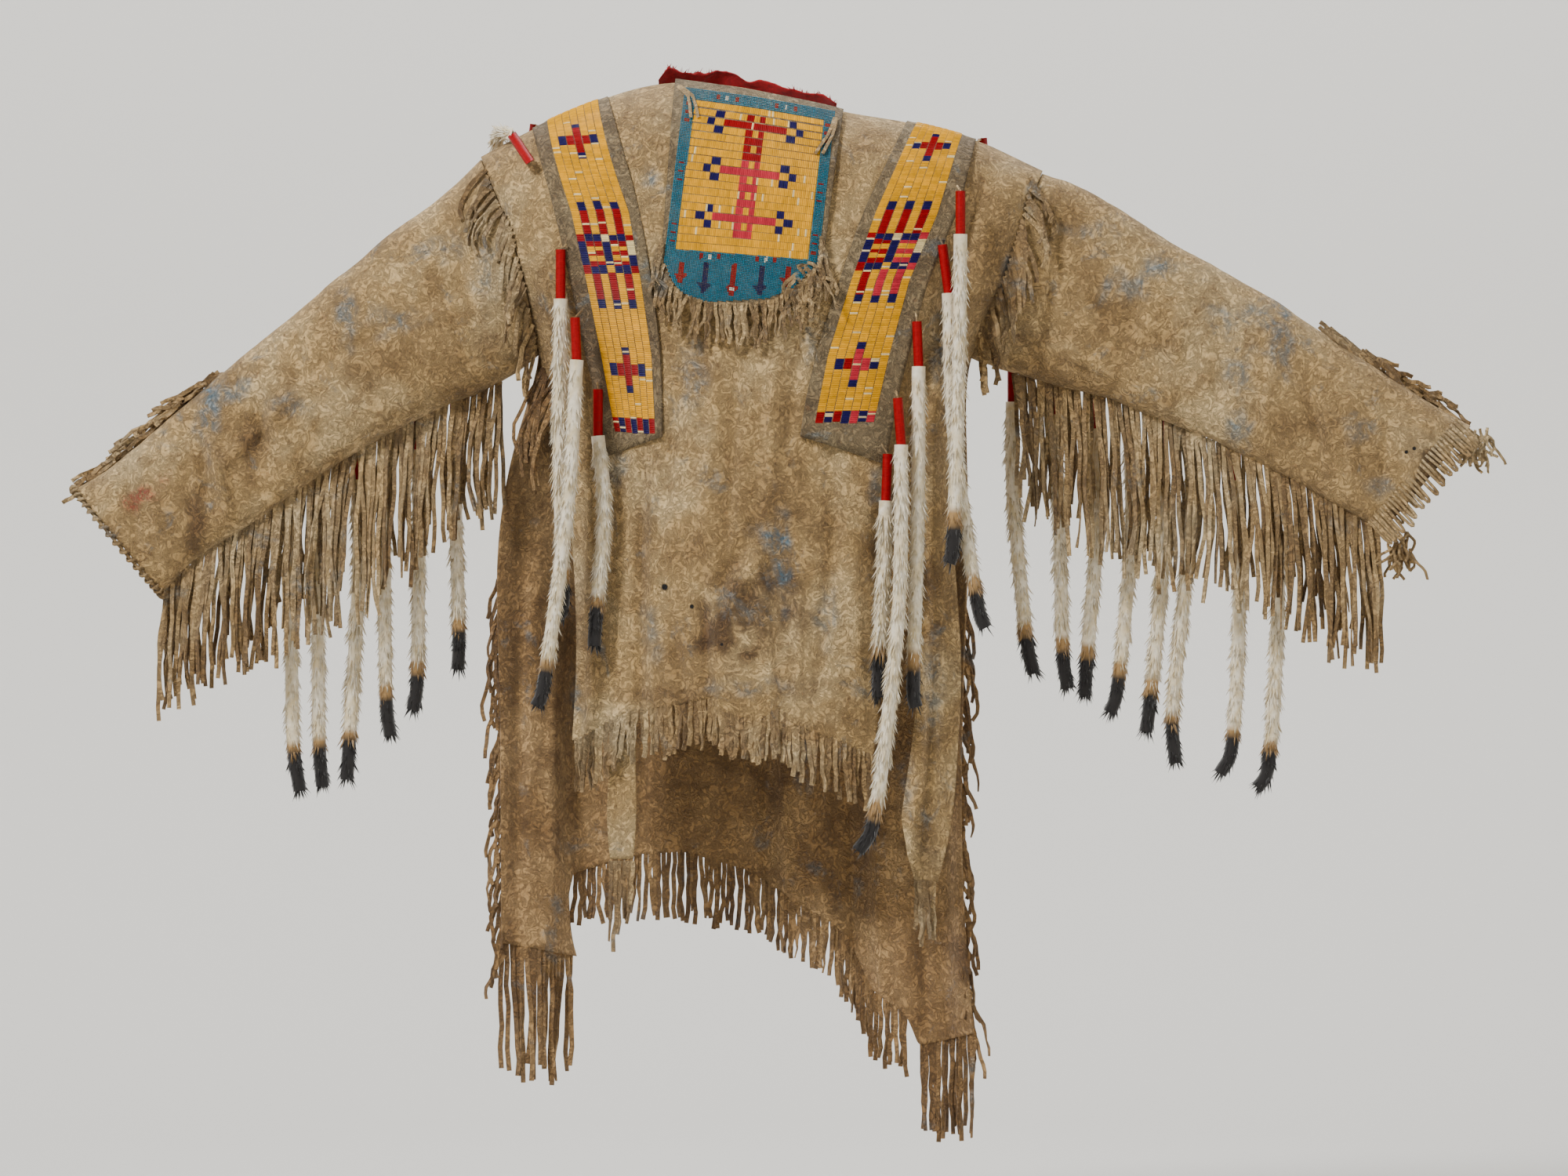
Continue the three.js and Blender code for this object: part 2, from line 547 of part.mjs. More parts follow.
// The rows that carry a hide from the shoulder line round to its first level
function rollRows(level, toward) {
  return [0, 30, 60].map((degrees) => {
    const turn = THREE.MathUtils.degToRad(degrees);
    const forth = Math.sin(turn);
    const sunk = 1 - Math.cos(turn);
    return level.map((p, i) => {
      const start = toward * (slit[i] + seamGap / 2);
      const top = shoulderHeight(topColumns[i]);
      return point(mix(topColumns[i], p.x, sunk), mix(start, p.y, forth), mix(top, p.z, sunk));
    });
  });
}

// The front hide
function frontPoints(row) {
  const middle = (share, depth) => point(mix(row.inL, row.inR, share), -depth, row.z);
  return [
    point(row.side, -row.dSide, row.z),
    point(row.outL, -row.dOutL, row.z),
    point(row.inL, -row.dInL, row.z),
    middle(0.25, mix(row.dInL, row.dMid, 0.7)),
    middle(0.5, row.dMid),
    middle(0.75, mix(row.dInR, row.dMid, 0.7)),
    point(row.inR, -row.dInR, row.z),
    point(row.outR, -row.dOutR, row.z),
    point(row.dip, -row.dDip, row.z),
    point(row.leg, -row.dLeg, row.z),
    point(row.edge, -row.dEdge, row.z),
  ];
}
const rollSteps = [0, 0.5, 1, 1.5, 2, 2.5];
const frontLattice = frontLevels.map(frontPoints);
frontLattice.unshift(...rollRows(frontLattice[0], -1));
const frontSteps = [...rollSteps, ...steps(3, 11, 16)];
const frontPerColumn = 2;
const frontAcross = steps(0, 10, 10 * frontPerColumn);
const front = hideOn(onLattice(frontLattice, frontAcross, frontSteps, frontFolds, -1), 1);
add("front_panel", cutHide(front, [...frontCut, ...splitCut, ...forelegCut]), "hide");

// The back hide
function backPoints(row) {
  return topColumns.map((x, i) => {
    const share = (x - topColumns[0]) / (topColumns.at(-1) - topColumns[0]);
    const round = Math.sin(Math.PI * share) ** 0.6;
    return point(mix(row.left, row.right, share), mix(row.dEdge, row.dMid, i % 10 === 0 ? 0 : round), row.z);
  });
}
const backLattice = backLevels.map(backPoints);
backLattice.unshift(...rollRows(backLattice[0], 1));
const backSteps = [...rollSteps, ...steps(3, 11, 16)];
const backPerColumn = 2;
const backAcross = steps(0, 10, 10 * backPerColumn);
const back = hideOn(onLattice(backLattice, backAcross, backSteps, backFolds, 1), -1);
add("back_panel", cutHide(back, [...leftLegCut, ...legSideCut, ...backCut, ...rightLegCut]), "innerHide");

// The sleeves

// The point of a hide's side edge at a height
function edgeAt(surface, column, z) {
  const edge = surface.grid.map((row) => row.at(column));
  const next = Math.max(1, edge.findIndex((p) => p.z <= z));
  const a = edge[next - 1];
  const b = edge[next];
  return a.clone().lerp(b, (z - a.z) / (b.z - a.z));
}

const around = 16;
const armholeLow = -311;
function sleeveOn(side) {
  const sign = side === "left" ? -1 : 1;
  const column = side === "left" ? 0 : -1;
  const turns = steps(0, 2 * Math.PI, around);
  const top = front.grid[0].at(column);
  const seam = turns.map((turn) => {
    const z = mix(top.z, armholeLow, (1 - Math.cos(turn)) / 2);
    const p = edgeAt(turn < Math.PI ? front : back, column, Math.min(z, top.z));
    const level = Math.abs(Math.sin(turn)) < 1e-9;
    const slack = armpitSlack * ((1 - Math.cos(turn)) / 2) ** 2;
    return point(p.x + sign * (sleeveSeamGap + slack), level ? 0 : p.y, z);
  });
  const rings = sleeveRings[side].map((row) =>
    turns.map((turn) => {
      const share = (1 - Math.cos(turn)) / 2;
      const forth = Math.sign(Math.sin(turn)) * Math.abs(Math.sin(turn)) ** 0.85;
      return point(
        mix(row.xTop, row.xLow, share),
        -row.fore - (row.deep / 2) * forth,
        mix(row.zTop, row.zLow, share),
      );
    }),
  );
  const lattice = [seam, ...rings];
  const grid = steps(0, lattice.length - 1, 12).map((b) =>
    turns.map((turn, i) => {
      const p = between(lattice.map((ring) => ring[i]), b);
      p.y -= Math.sin(turn) * foldRise(sleeveFolds[side], p.x, p.z);
      return p;
    }),
  );
  return surfaceOn(grid, -sign, true);
}
const sleeves = { left: sleeveOn("left"), right: sleeveOn("right") };
for (const side of ["left", "right"])
  add(`sleeve_${side}`, wallOn(sleeves[side], -hideThick / 2, hideThick / 2), "hide");

// A surface from a grid of points that were met, each with its normal
const surfaceAt = (spots) => ({
  grid: spots.map((row) => row.map(({ spot }) => spot)),
  normals: spots.map((row) => row.map(({ way }) => way)),
});

// The shoulder bands: their quilled field is raised within a bare border

// A point of a surface's grid and its normal, between rows and columns
function patch(surface, row, column) {
  const j = Math.min(Math.floor(row), surface.grid.length - 2);
  const i = Math.min(Math.floor(column), surface.grid[0].length - 2);
  const [g, h] = [row - j, column - i];
  const blend = (grid) => {
    const elbow = g > h ? grid[j + 1][i] : grid[j][i + 1];
    const share = Math.max(g, h) - Math.min(g, h);
    const start = grid[j][i].clone().multiplyScalar(1 - Math.max(g, h));
    return start.addScaledVector(elbow, share).addScaledVector(grid[j + 1][i + 1], Math.min(g, h));
  };
  return { spot: blend(surface.grid), way: blend(surface.normals).normalize() };
}

const onHide = hideThick / 2 + 2 * seamGap;
const underBand = onHide + 0.5;
const bands = {
  left: { from: 1, to: 2, endFrom: 12.2, endTo: 11.82, shares: [0, 0.17, 0.19, 0.5, 0.86, 0.88, 1] },
  right: { from: 6, to: 7, endFrom: 11.82, endTo: 12.35, shares: [0, 0.12, 0.14, 0.5, 0.8, 0.82, 1] },
};
const lastWholeRow = 11;
for (const [side, band] of Object.entries(bands)) {
  const spots = [2, 1].map((row) =>
    band.shares.map((u) => patch(back, row, backPerColumn * mix(band.from, band.to, u))),
  );
  for (let row = 0; row <= lastWholeRow; row++)
    spots.push(band.shares.map((u) => patch(front, row, frontPerColumn * mix(band.from, band.to, u))));
  spots.push(
    band.shares.map((u) =>
      patch(front, mix(band.endFrom, band.endTo, u), frontPerColumn * mix(band.from, band.to, u)),
    ),
  );
  for (const { spot } of spots[2]) spot.setY(0);
  const surface = surfaceAt(spots);
  const last = spots.length - 1;
  const isField = (i, j) => i > 1 && i < 5 && j > 0 && j < last;
  const raise = (i, j) => (isField(i, j) ? quillRise : 0);
  add(`band_${side}`, wallOn(surface, underBand, underBand + bandThick, raise), "quills");
}

// The bib hangs over the chest from the front of the neck slit
const bibDown = [0, 0.03, 0.08, 0.14, 0.22, 0.32, 0.42, 0.54, 0.66, 0.8, 0.9, 0.96, 1];
const bibAcross = [0, 0.05, 0.1, 0.2, 0.35, 0.5, 0.65, 0.8, 0.9, 0.95, 1];
const onChest = onHide + 2.9;
const bibSpots = bibDown.map((v) =>
  bibAcross.map((u) => {
    const [head, foot] = bibSides;
    const drop = v * fromTable(bibDrops, u, "drop");
    const fall = drop / (head.zLeft - foot.zLeft);
    const x = mix(mix(head.xLeft, foot.xLeft, fall), mix(head.xRight, foot.xRight, fall), u);
    return meet(front, x, Math.min(mix(head.zLeft, head.zRight, u), shoulderHeight(x) - 3) - drop);
  }),
);
const bib = surfaceAt(bibSpots);
const bibRaise = (i, j) => (i > 1 && i < bibAcross.length - 2 && j > 1 && j < 10 ? quillRise : 0);
add("bib", wallOn(bib, onChest, onChest + bibThick, bibRaise), "beads");

// The red wool stands up behind the neck slit, from where it lies on the back hide
const woolOut = onHide + 1 + woolThick / 2;
const woolColumns = steps(2.75, 4.92, 10).map((a) => backPerColumn * a);
const woolLying = [1, 2, 3].map((row) =>
  woolColumns.map((column) => {
    const { spot, way } = patch(back, row, column);
    return spot.addScaledVector(way, woolOut);
  }),
);
const woolRise = [
  { row: 0, up: 17, out: -2 },
  { row: 0.3, up: 6, out: 2 },
];
const woolStanding = woolRise.map(({ row, up, out }) =>
  woolColumns.map((column, i) => {
    const { spot } = patch(back, row, column);
    const ragged = row === 0 ? 3 * Math.sin(2.1 * i) : 0;
    return spot.add(point(0, out + woolOut, up + ragged));
  }),
);
const wool = surfaceOn([...woolStanding, ...woolLying], -1);
add("neck_wool", wallOn(wool, -woolThick / 2, woolThick / 2), "wool");

// The tab hangs inside the front hem
const tabBehind = 3.4;
const tabDepth = (z) => Math.max(...steps(-165, -122, 8).map((x) => meet(front, x, z).spot.y)) + tabBehind;
const tab = surfaceOn(
  [-698, -730, -780, -835, -885].map((z) => {
    const next = Math.max(1, tabLevels.findIndex((row) => row.z <= z));
    const f = (z - tabLevels[next - 1].z) / (tabLevels[next].z - tabLevels[next - 1].z);
    return [0, 0.5, 1].map((u) => {
      const left = mix(tabLevels[next - 1].left, tabLevels[next].left, f);
      const right = mix(tabLevels[next - 1].right, tabLevels[next].right, f);
      return point(mix(left, right, u), tabDepth(z), z);
    });
  }),
  1,
);
add("front_tab", wallOn(tab, -hideThick / 2, hideThick / 2), "hide");

// The fringes: thongs cut side by side from one narrow backing, which follows a line. way is the thongs'
// direction, wide their width, lean and forward how far their tips move aside and to the front, sway how much
// that varies, and clear the depth they stay in front of.
function fringe(name, line, look) {
  const { count, lengths, wide, way = () => down, lean = 0, forward = 0, sway = 2, clear = null } = look;
  const { high = 2 * backingHalf, thick = 2, thongThick = 2, finish = "hide" } = look;
  const long = line.slice(1).reduce((sum, p, i) => sum + p.distanceTo(line[i]), 0);
  const half = wide / (2 * long);
  const shares = [0];
  for (let k = 0; k < count; k++) shares.push((k + 0.5) / count - half, (k + 0.5) / count + half);
  shares.push(1);
  const positions = [];
  const index = [];
  const keep = (...points) => points.map((p) => positions.push(p.x, p.y, p.z) / 3 - 1);
  const quad = (a, b, c, d) => index.push(a, b, c, a, c, d);
  const sections = shares.map((share) => {
    const middle = alongLine(line, share);
    const ahead = alongLine(line, Math.min(share + 0.01, 1));
    const run = ahead.sub(alongLine(line, Math.max(share - 0.01, 0))).normalize();
    const out = way(share);
    const across = out.clone().addScaledVector(run, -out.dot(run)).normalize();
    const face = run.clone().cross(across);
    const corner = (u, v) =>
      middle.clone().addScaledVector(across, (u * high) / 2).addScaledVector(face, (v * thick) / 2);
    return { run, face, ids: keep(corner(1, 1), corner(1, -1), corner(-1, -1), corner(-1, 1)) };
  });
  sections.forEach(({ ids: a }, k) => {
    const next = sections[k + 1];
    if (!next) return;
    const b = next.ids;
    quad(a[1], b[1], b[2], a[2]);
    quad(a[2], b[2], b[3], a[3]);
    quad(a[3], b[3], b[0], a[0]);
    if (k % 2 === 0) return quad(a[0], b[0], b[1], a[1]);
    const share = (shares[k] + shares[k + 1]) / 2;
    const corners = [a[0], b[0], b[1], a[1]].map((id) => point(...positions.slice(3 * id, 3 * id + 3)));
    const start = corners.reduce((sum, p) => sum.add(p), point(0, 0, 0)).divideScalar(4);
    const usual = lengths[Math.min(Math.floor(share * lengths.length), lengths.length - 1)];
    const length = usual * (1 + about(0.1));
    const aside = lean + about(sway);
    const bow = about(0.5 * sway);
    const { run, face } = sections[k];
    let above = [a[0], b[0], b[1], a[1]];
    for (const [t, size] of [[0.45, 0.85], [1, 1.05]]) {
      const p = start.clone().addScaledVector(way(share), length * t);
      p.add(point(0, forward * t, 0)).addScaledVector(run, aside * t * t + bow * Math.sin(Math.PI * t));
      if (clear) p.y = Math.min(p.y, clear(p.x, p.z));
      const corner = (u, v) =>
        p.clone().addScaledVector(run, (u * size * wide) / 2).addScaledVector(face, (v * thongThick) / 2);
      const ring = keep(corner(-1, 1), corner(1, 1), corner(1, -1), corner(-1, -1));
      above.forEach((id, i) => quad(id, above[(i + 1) % 4], ring[(i + 1) % 4], ring[i]));
      above = ring;
    }
    quad(above[0], above[1], above[2], above[3]);
  });
  const first = sections[0].ids;
  const last = sections.at(-1).ids;
  quad(first[0], first[1], first[2], first[3]);
  quad(last[3], last[2], last[1], last[0]);
  add(name, facingOut(positions, index), finish);
}

// A line below a cut edge, away mm from it, on a surface
function belowCut(surface, cut, away, toward = -1) {
  return cut.map(({ x, z }, i) => {
    const before = cut[Math.max(i - 1, 0)];
    const after = cut[Math.min(i + 1, cut.length - 1)];
    const long = Math.hypot(after.x - before.x, after.z - before.z);
    const nx = (after.z - before.z) / long;
    const nz = -(after.x - before.x) / long;
    const { spot } = meetNear(surface, x - 3 * nx, z - 3 * nz, toward);
    return point(x + away * nx, spot.y, z + away * nz);
  });
}
const below = seamGap + backingHalf + 1.4;
const justBelow = below - 1;

fringe("front_hem_fringe", belowCut(front, frontCut, below), {
  count: 20, lengths: [58, 62, 55, 60, 50, 52, 62, 66], wide: 7, sway: 3.5, forward: -5 });
fringe("foreleg_fringe", belowCut(front, forelegCut, justBelow), {
  count: 3, lengths: [62, 70, 60], wide: 5, lean: -6, sway: 2 });
fringe("left_leg_fringe", belowCut(back, leftLegCut, justBelow, 1), {
  count: 7, lengths: [140, 150, 148, 146], wide: 6, sway: 4, finish: "innerHide" });
fringe("back_hem_fringe", belowCut(back, backCut.slice(0, -1), below, 1), {
  count: 20, lengths: [58, 70, 78, 76, 70, 66, 74, 78, 70], wide: 6.5, sway: 3, finish: "innerHide" });
fringe("right_leg_fringe", belowCut(back, rightLegCut, justBelow, 1), {
  count: 6, lengths: [100, 112, 116, 118], wide: 5, sway: 3, finish: "innerHide" });
const tabHem = [-157, -132].map((x) => point(x, tabDepth(-885), -885 - justBelow));
fringe("tab_fringe", tabHem, { count: 3, lengths: [100, 70, 55], wide: 5, sway: 2 });

// Down the free side edges of the back
function sideLine(side, from, to) {
  const out = (side === "left" ? -1 : 1) * below;
  return steps(from, to, 8).map((z) => edgeAt(back, side === "left" ? 0 : -1, z).add(point(out, 0, 0)));
}
const sideWay = (sign) => () => point(0.42 * sign, -0.05, -0.9).normalize();
fringe("side_fringe_left", sideLine("left", -560, -970), {
  count: 8, lengths: [44, 52], wide: 5, way: sideWay(-1), sway: 3, finish: "innerHide" });
fringe("side_fringe_right", sideLine("right", -603, -1070), {
  count: 8, lengths: [44, 52], wide: 5, way: sideWay(1), sway: 3, finish: "innerHide" });

// Under the sleeves
const sleeveLengths = {
  left: [165, 160, 182, 200, 190, 182, 174, 168, 164],
  right: [200, 198, 205, 200, 180, 184, 189, 186, 172],
};
const lowest = around / 2;
for (const side of ["left", "right"]) {
  const { grid, normals } = sleeves[side];
  const line = steps(1, grid.length - 1, grid.length - 2).map((j) =>
    grid[j][lowest].clone().addScaledVector(normals[j][lowest], hideThick / 2 + seamGap + backingHalf),
  );
  fringe(`sleeve_fringe_${side}`, line, { count: 34, lengths: sleeveLengths[side], wide: 8, sway: 2.6 });
}

// Over the armhole seams, lying on the sleeves
for (const side of ["left", "right"]) {
  const sign = side === "left" ? -1 : 1;
  const column = side === "left" ? 0 : -1;
  const lie = onHide + (side === "left" ? 2.6 : 3.5);
  const line = steps(-116, -292, 12).map((z) => {
    const p = edgeAt(front, column, z);
    const { spot, way } = meet(front, p.x - sign * 4, p.z);
    return spot.addScaledVector(way, lie);
  });
  const clear = (x, z) => {
    const spots = [front, sleeves[side]].map((surface) => meet(surface, x, z)?.spot.y ?? 999);
    return Math.min(...spots) - 5;
  };
  fringe(`seam_fringe_${side}`, line, {
    count: 9, lengths: [58, 62, 60], wide: 6, way: () => point(0.3 * sign, -0.12, -0.94), sway: 2, clear,
    high: 3.2 });
}

// Under the left armpit, on the free edge of the front
const armpitLine = [-326, -346, -368].map((z) => edgeAt(front, 0, z).add(point(-below, 0, 0)));
fringe("armpit_fringe", armpitLine, {
  count: 4, lengths: [96, 90, 84], wide: 6, way: () => point(-0.3, -0.12, -0.95), sway: 2 });

// Along the tops of the sleeves, just behind their upper edge
for (const side of ["left", "right"]) {
  const { grid, normals } = sleeves[side];
  const behind = around - 1;
  const rows = steps(7, grid.length - 2, 7);
  const spotAt = (row) => patch(sleeves[side], row, behind);
  const line = rows.map((row) => {
    const { spot, way } = spotAt(row);
    return spot.addScaledVector(way, hideThick / 2 + seamGap + 1.6);
  });
  const run = grid.at(-1)[behind].clone().sub(grid[7][behind]).normalize();
  const way = () => run.clone().addScaledVector(normals[10][behind], 0.34).normalize();
  fringe(`crest_fringe_${side}`, line, {
    count: 8, lengths: [36, 40, 34], wide: 5, way, sway: 1, high: 2.6, thick: 2.6 });
}

// The whipped edge of the left cuff and the looped thongs of the right one
function cuffLine(side, out, reach) {
  const { grid, normals } = sleeves[side];
  const ring = grid.at(-1);
  const inner = grid.at(-2);
  return ring.slice(0, -1).map((p, i) => {
    const axis = p.clone().sub(inner[i]).normalize();
    return p.clone().addScaledVector(axis, reach).addScaledVector(normals.at(-1)[i], out);
  });
}
const whipRadius = 3;
const whip = cuffLine("left", 0, seamGap + whipRadius + 0.2);
add("cuff_whip_left", rodOn(whip, whip.map(() => whipRadius), 5), "hide");
fringe("cuff_loops_right", cuffLine("right", 0, seamGap + 2.6), {
  count: 12, lengths: [42, 50, 46, 52], wide: 6, sway: 2, high: 3, thick: 3,
  way: (share) => point(0.5, share < 0.5 ? -0.45 : 0.3, -0.74) });

// Round the foot of the bib
const bibFoot = bibDown.length - 1;
const bibSide = bibAcross.length - 1;
const bibEdge = [
  ...steps(7, bibFoot, bibFoot - 7).map((j) => [j, 0]),
  ...steps(1, bibSide - 1, bibSide - 2).map((i) => [bibFoot, i]),
  ...steps(bibFoot, 7, bibFoot - 7).map((j) => [j, bibSide]),
];
const bibRim = bibEdge.map(([j, i]) => bib.grid[j][i]);
const bibLine = belowCut(front, bibRim, 4.8).map(({ x, z }) => {
  const { spot, way } = meet(front, x, z);
  return spot.addScaledVector(way, onChest + 1);
});
fringe("bib_fringe", bibLine, {
  count: 15, lengths: [34, 38, 36, 44, 40, 36], wide: 6, sway: 2, high: 4,
  clear: (x, z) => meet(front, x, z).spot.y - onChest - 2 });

// Hide ties at the bib's upper corners
const tieRadius = 1.6;
const tieRoutes = {
  tie_left: [{ x: -78, z: -6 }, { x: -66, z: -14 }, { x: -62, z: -32 }],
  tie_right: [{ x: 97, z: -42 }, { x: 93, z: -62 }, { x: 82, z: -78 }],
};
for (const [name, route] of Object.entries(tieRoutes)) {
  const path = route.map(({ x, z }) => {
    const { spot, way } = meet(front, x, z);
    return spot.addScaledVector(way, onChest + bibThick + quillRise + 1.7 + tieRadius);
  });
  add(name, rodOn(path, path.map(() => tieRadius), 5), "hide");
}

// The ermine tails: a thong, a wrapped roll, the white fur and the black tip
function ermineTail(name, path, radii) {
  add(name, rodOn(path, radii, 6), "ermine");
}
const onBand = onHide + bandThick + quillRise + seamGap;
const thongSeat = underBand + bandThick + seamGap + thongRadius;
for (const row of frontTails) {
  const stations = [
    { x: row.rootX, z: row.rootZ, radius: thongRadius },
    { x: row.rollX, z: row.rollZ, radius: thongRadius },
    { x: row.rollX, z: row.rollZ - 1, radius: rollRadius },
    { x: row.endX, z: row.endZ, radius: rollRadius },
    { x: row.endX, z: row.endZ - 8, radius: furRadius },
    { x: row.midX, z: row.midZ, radius: furRadius },
    { x: row.furX, z: row.furZ, radius: furEnd },
    { x: row.tipX, z: row.tipZ, radius: tipEnd },
  ];
  let hang = 0;
  const path = stations.map(({ x, z, radius }, k) => {
    const met = meetNear(front, x, z, -1);
    if (k === 0) return met.spot.addScaledVector(met.way, thongSeat - (row.sink ?? 0));
    const lies = met ? met.spot.y - onBand - radius - row.lift : hang;
    hang = Math.min(hang, lies);
    return point(x, hang, z);
  });
  ermineTail(row.name, path, stations.map(({ radius }) => radius));
}

// Tails behind the sleeves hang plumb from where they are tied
for (const side of ["left", "right"])
  for (const row of sleeveTails[side]) {
    const met = meet(sleeves[side], row.rootX, row.rootZ, 1);
    const y = met.spot.y + hideThick / 2 + seamGap + furRadius;
    const root = met.spot.addScaledVector(met.way, hideThick / 2 + seamGap + thongRadius);
    const roll = row.rootZ - 12;
    const path = [
      root,
      point(row.rootX, y, roll),
      point(row.rootX, y, roll - 1),
      point(row.rootX, y, roll - 54),
      point(row.rootX, y, roll - 62),
      point(row.midX, y, mix(roll, row.furZ, 0.5)),
      point(row.furX, y, row.furZ),
      point(row.tipX, y, row.tipZ),
    ];
    const radii = [thongRadius, rollRadius, furRadius].flatMap((radius) => [radius, radius]);
    ermineTail(row.name, path, [...radii, furEnd, tipEnd]);
  }

// Tails thrown over the shoulders
for (const [name, stations] of Object.entries(shoulderTails)) {
  let hang = 0;
  const path = stations.map(({ seat, x, y, z, radius, sink = 0 }) => {
    if (seat) {
      const met = seat === "front" ? meet(front, x, z) : meet(back, x, z, 1);
      return met.spot.addScaledVector(met.way, thongSeat - sink);
    }
    const spots = [back, sleeves.left, sleeves.right].map((surface) => meet(surface, x, z, 1)?.spot.y ?? 0);
    if (y === undefined) hang = Math.max(hang, Math.max(...spots) + 1.4 * (onBand + radius));
    return point(x, y ?? hang, z);
  });
  ermineTail(name, path, stations.map(({ radius }) => radius));
}

export default shirt;
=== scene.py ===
# %% [markdown]
# A Plains war shirt is two tanned skins, sewn along the shoulders and left open down the sides,
# with a sleeve of the same skin on each armhole. It is shown here filled out, as it is worn.
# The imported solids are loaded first. They give every piece its size and place, and the pieces below
# take over their looks.

# %% Load the solids and keep their box
import math
import bmesh
import bpy
import numpy as np
from mathutils import Matrix, Vector, noise
from mathutils.bvhtree import BVHTree


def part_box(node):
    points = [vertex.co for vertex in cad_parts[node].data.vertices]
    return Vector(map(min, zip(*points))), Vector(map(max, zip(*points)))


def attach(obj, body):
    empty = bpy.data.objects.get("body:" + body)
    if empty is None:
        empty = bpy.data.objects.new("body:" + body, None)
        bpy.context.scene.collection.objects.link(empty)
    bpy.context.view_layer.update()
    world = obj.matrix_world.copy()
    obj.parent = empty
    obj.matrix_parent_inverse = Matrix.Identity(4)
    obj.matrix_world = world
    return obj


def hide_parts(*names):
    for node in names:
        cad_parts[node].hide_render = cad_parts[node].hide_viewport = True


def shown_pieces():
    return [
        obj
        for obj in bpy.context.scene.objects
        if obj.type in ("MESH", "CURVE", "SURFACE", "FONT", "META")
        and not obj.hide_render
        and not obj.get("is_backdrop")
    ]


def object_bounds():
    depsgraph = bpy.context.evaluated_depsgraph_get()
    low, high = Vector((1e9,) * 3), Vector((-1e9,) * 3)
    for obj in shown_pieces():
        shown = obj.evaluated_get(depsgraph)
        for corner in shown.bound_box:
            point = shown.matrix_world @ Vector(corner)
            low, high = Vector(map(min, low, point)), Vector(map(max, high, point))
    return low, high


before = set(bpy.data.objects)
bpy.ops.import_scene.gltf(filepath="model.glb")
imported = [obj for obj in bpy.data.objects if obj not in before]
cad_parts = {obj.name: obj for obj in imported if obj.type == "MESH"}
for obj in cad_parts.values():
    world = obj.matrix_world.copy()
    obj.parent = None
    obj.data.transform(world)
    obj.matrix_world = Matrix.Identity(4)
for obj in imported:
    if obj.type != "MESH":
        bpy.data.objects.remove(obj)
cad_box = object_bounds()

mm = 0.001
rng = np.random.default_rng(7)
print("solids loaded:", len(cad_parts))

# %% [markdown]
# The camera stands far away with a long lens, level with the middle of the shirt. A long lens keeps
# the near chest and the far back at nearly one scale, as a museum photograph does.
# The floor is round and turns up into a wall in one soft curve, so that no line crosses the picture.
# The wall shows only from inside, so the shirt can be looked at from every side.

# %% Camera
frame_width = 1.8
camera_far = 8.0
sensor = 36
middle_x, middle_z = 0.0405, -0.576
camera_data = bpy.data.cameras.new("camera")
camera_data.sensor_width = sensor
camera_data.lens = sensor * camera_far / frame_width
camera_data.clip_end = 60
camera = bpy.data.objects.new("camera", camera_data)
bpy.context.scene.collection.objects.link(camera)
camera.location = (middle_x, -camera_far, middle_z)
camera.rotation_euler = (math.radians(90), 0, 0)
bpy.context.scene.camera = camera
print("lens:", round(camera_data.lens), "mm")


# %% Floor and backdrop
def new_mesh(name, points, faces):
    data = bpy.data.meshes.new(name)
    data.from_pydata([tuple(map(float, p)) for p in points], [], faces)
    data.update()
    thing = bpy.data.objects.new(name, data)
    bpy.context.scene.collection.objects.link(thing)
    return thing


floor_low = -1.36
middle_radius, flat_radius, sweep, wall_top = 0.4, 2.2, 1.2, 1.9
spokes, sweep_steps = 96, 12
profile = [(middle_radius, floor_low), (flat_radius, floor_low)]
for k in range(1, sweep_steps + 1):
    turn = math.radians(90 * k / sweep_steps)
    profile.append((flat_radius + sweep * math.sin(turn), floor_low + sweep * (1 - math.cos(turn))))
profile.append((flat_radius + sweep, wall_top))
angles = [2 * math.pi * k / spokes for k in range(spokes)]
floor_points = [(r * math.cos(a), r * math.sin(a), z) for r, z in profile for a in angles]


def ring_faces(inner, outer):
    return [(inner + k, outer + k, outer + (k + 1) % spokes, inner + (k + 1) % spokes) for k in range(spokes)]


floor_faces = [face for j in range(len(profile) - 1) for face in ring_faces(j * spokes, (j + 1) * spokes)]
floor_faces.append(tuple(range(spokes)))
# outside the wall the floor goes on flat, a millimetre lower, for the views from behind
far_ring, far_radius = len(floor_points), 20
floor_points += [(far_radius * math.cos(a), far_radius * math.sin(a), floor_low - mm) for a in angles]
floor_faces += ring_faces(spokes, far_ring)
floor = new_mesh("studio_floor", floor_points, floor_faces)
for face in floor.data.polygons:
    face.use_smooth = True
floor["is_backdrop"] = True
print("floor at", floor_low)


# %% Soft studio light
def soft_light(name, place, target, size, power):
    data = bpy.data.lights.new(name, "AREA")
    data.shape = "DISK"
    data.size = size
    data.energy = power
    lamp = bpy.data.objects.new(name, data)
    bpy.context.scene.collection.objects.link(lamp)
    lamp.location = place
    aim = Vector(target) - Vector(place)
    lamp.rotation_euler = aim.to_track_quat("-Z", "Y").to_euler()
    lamp.visible_camera = False


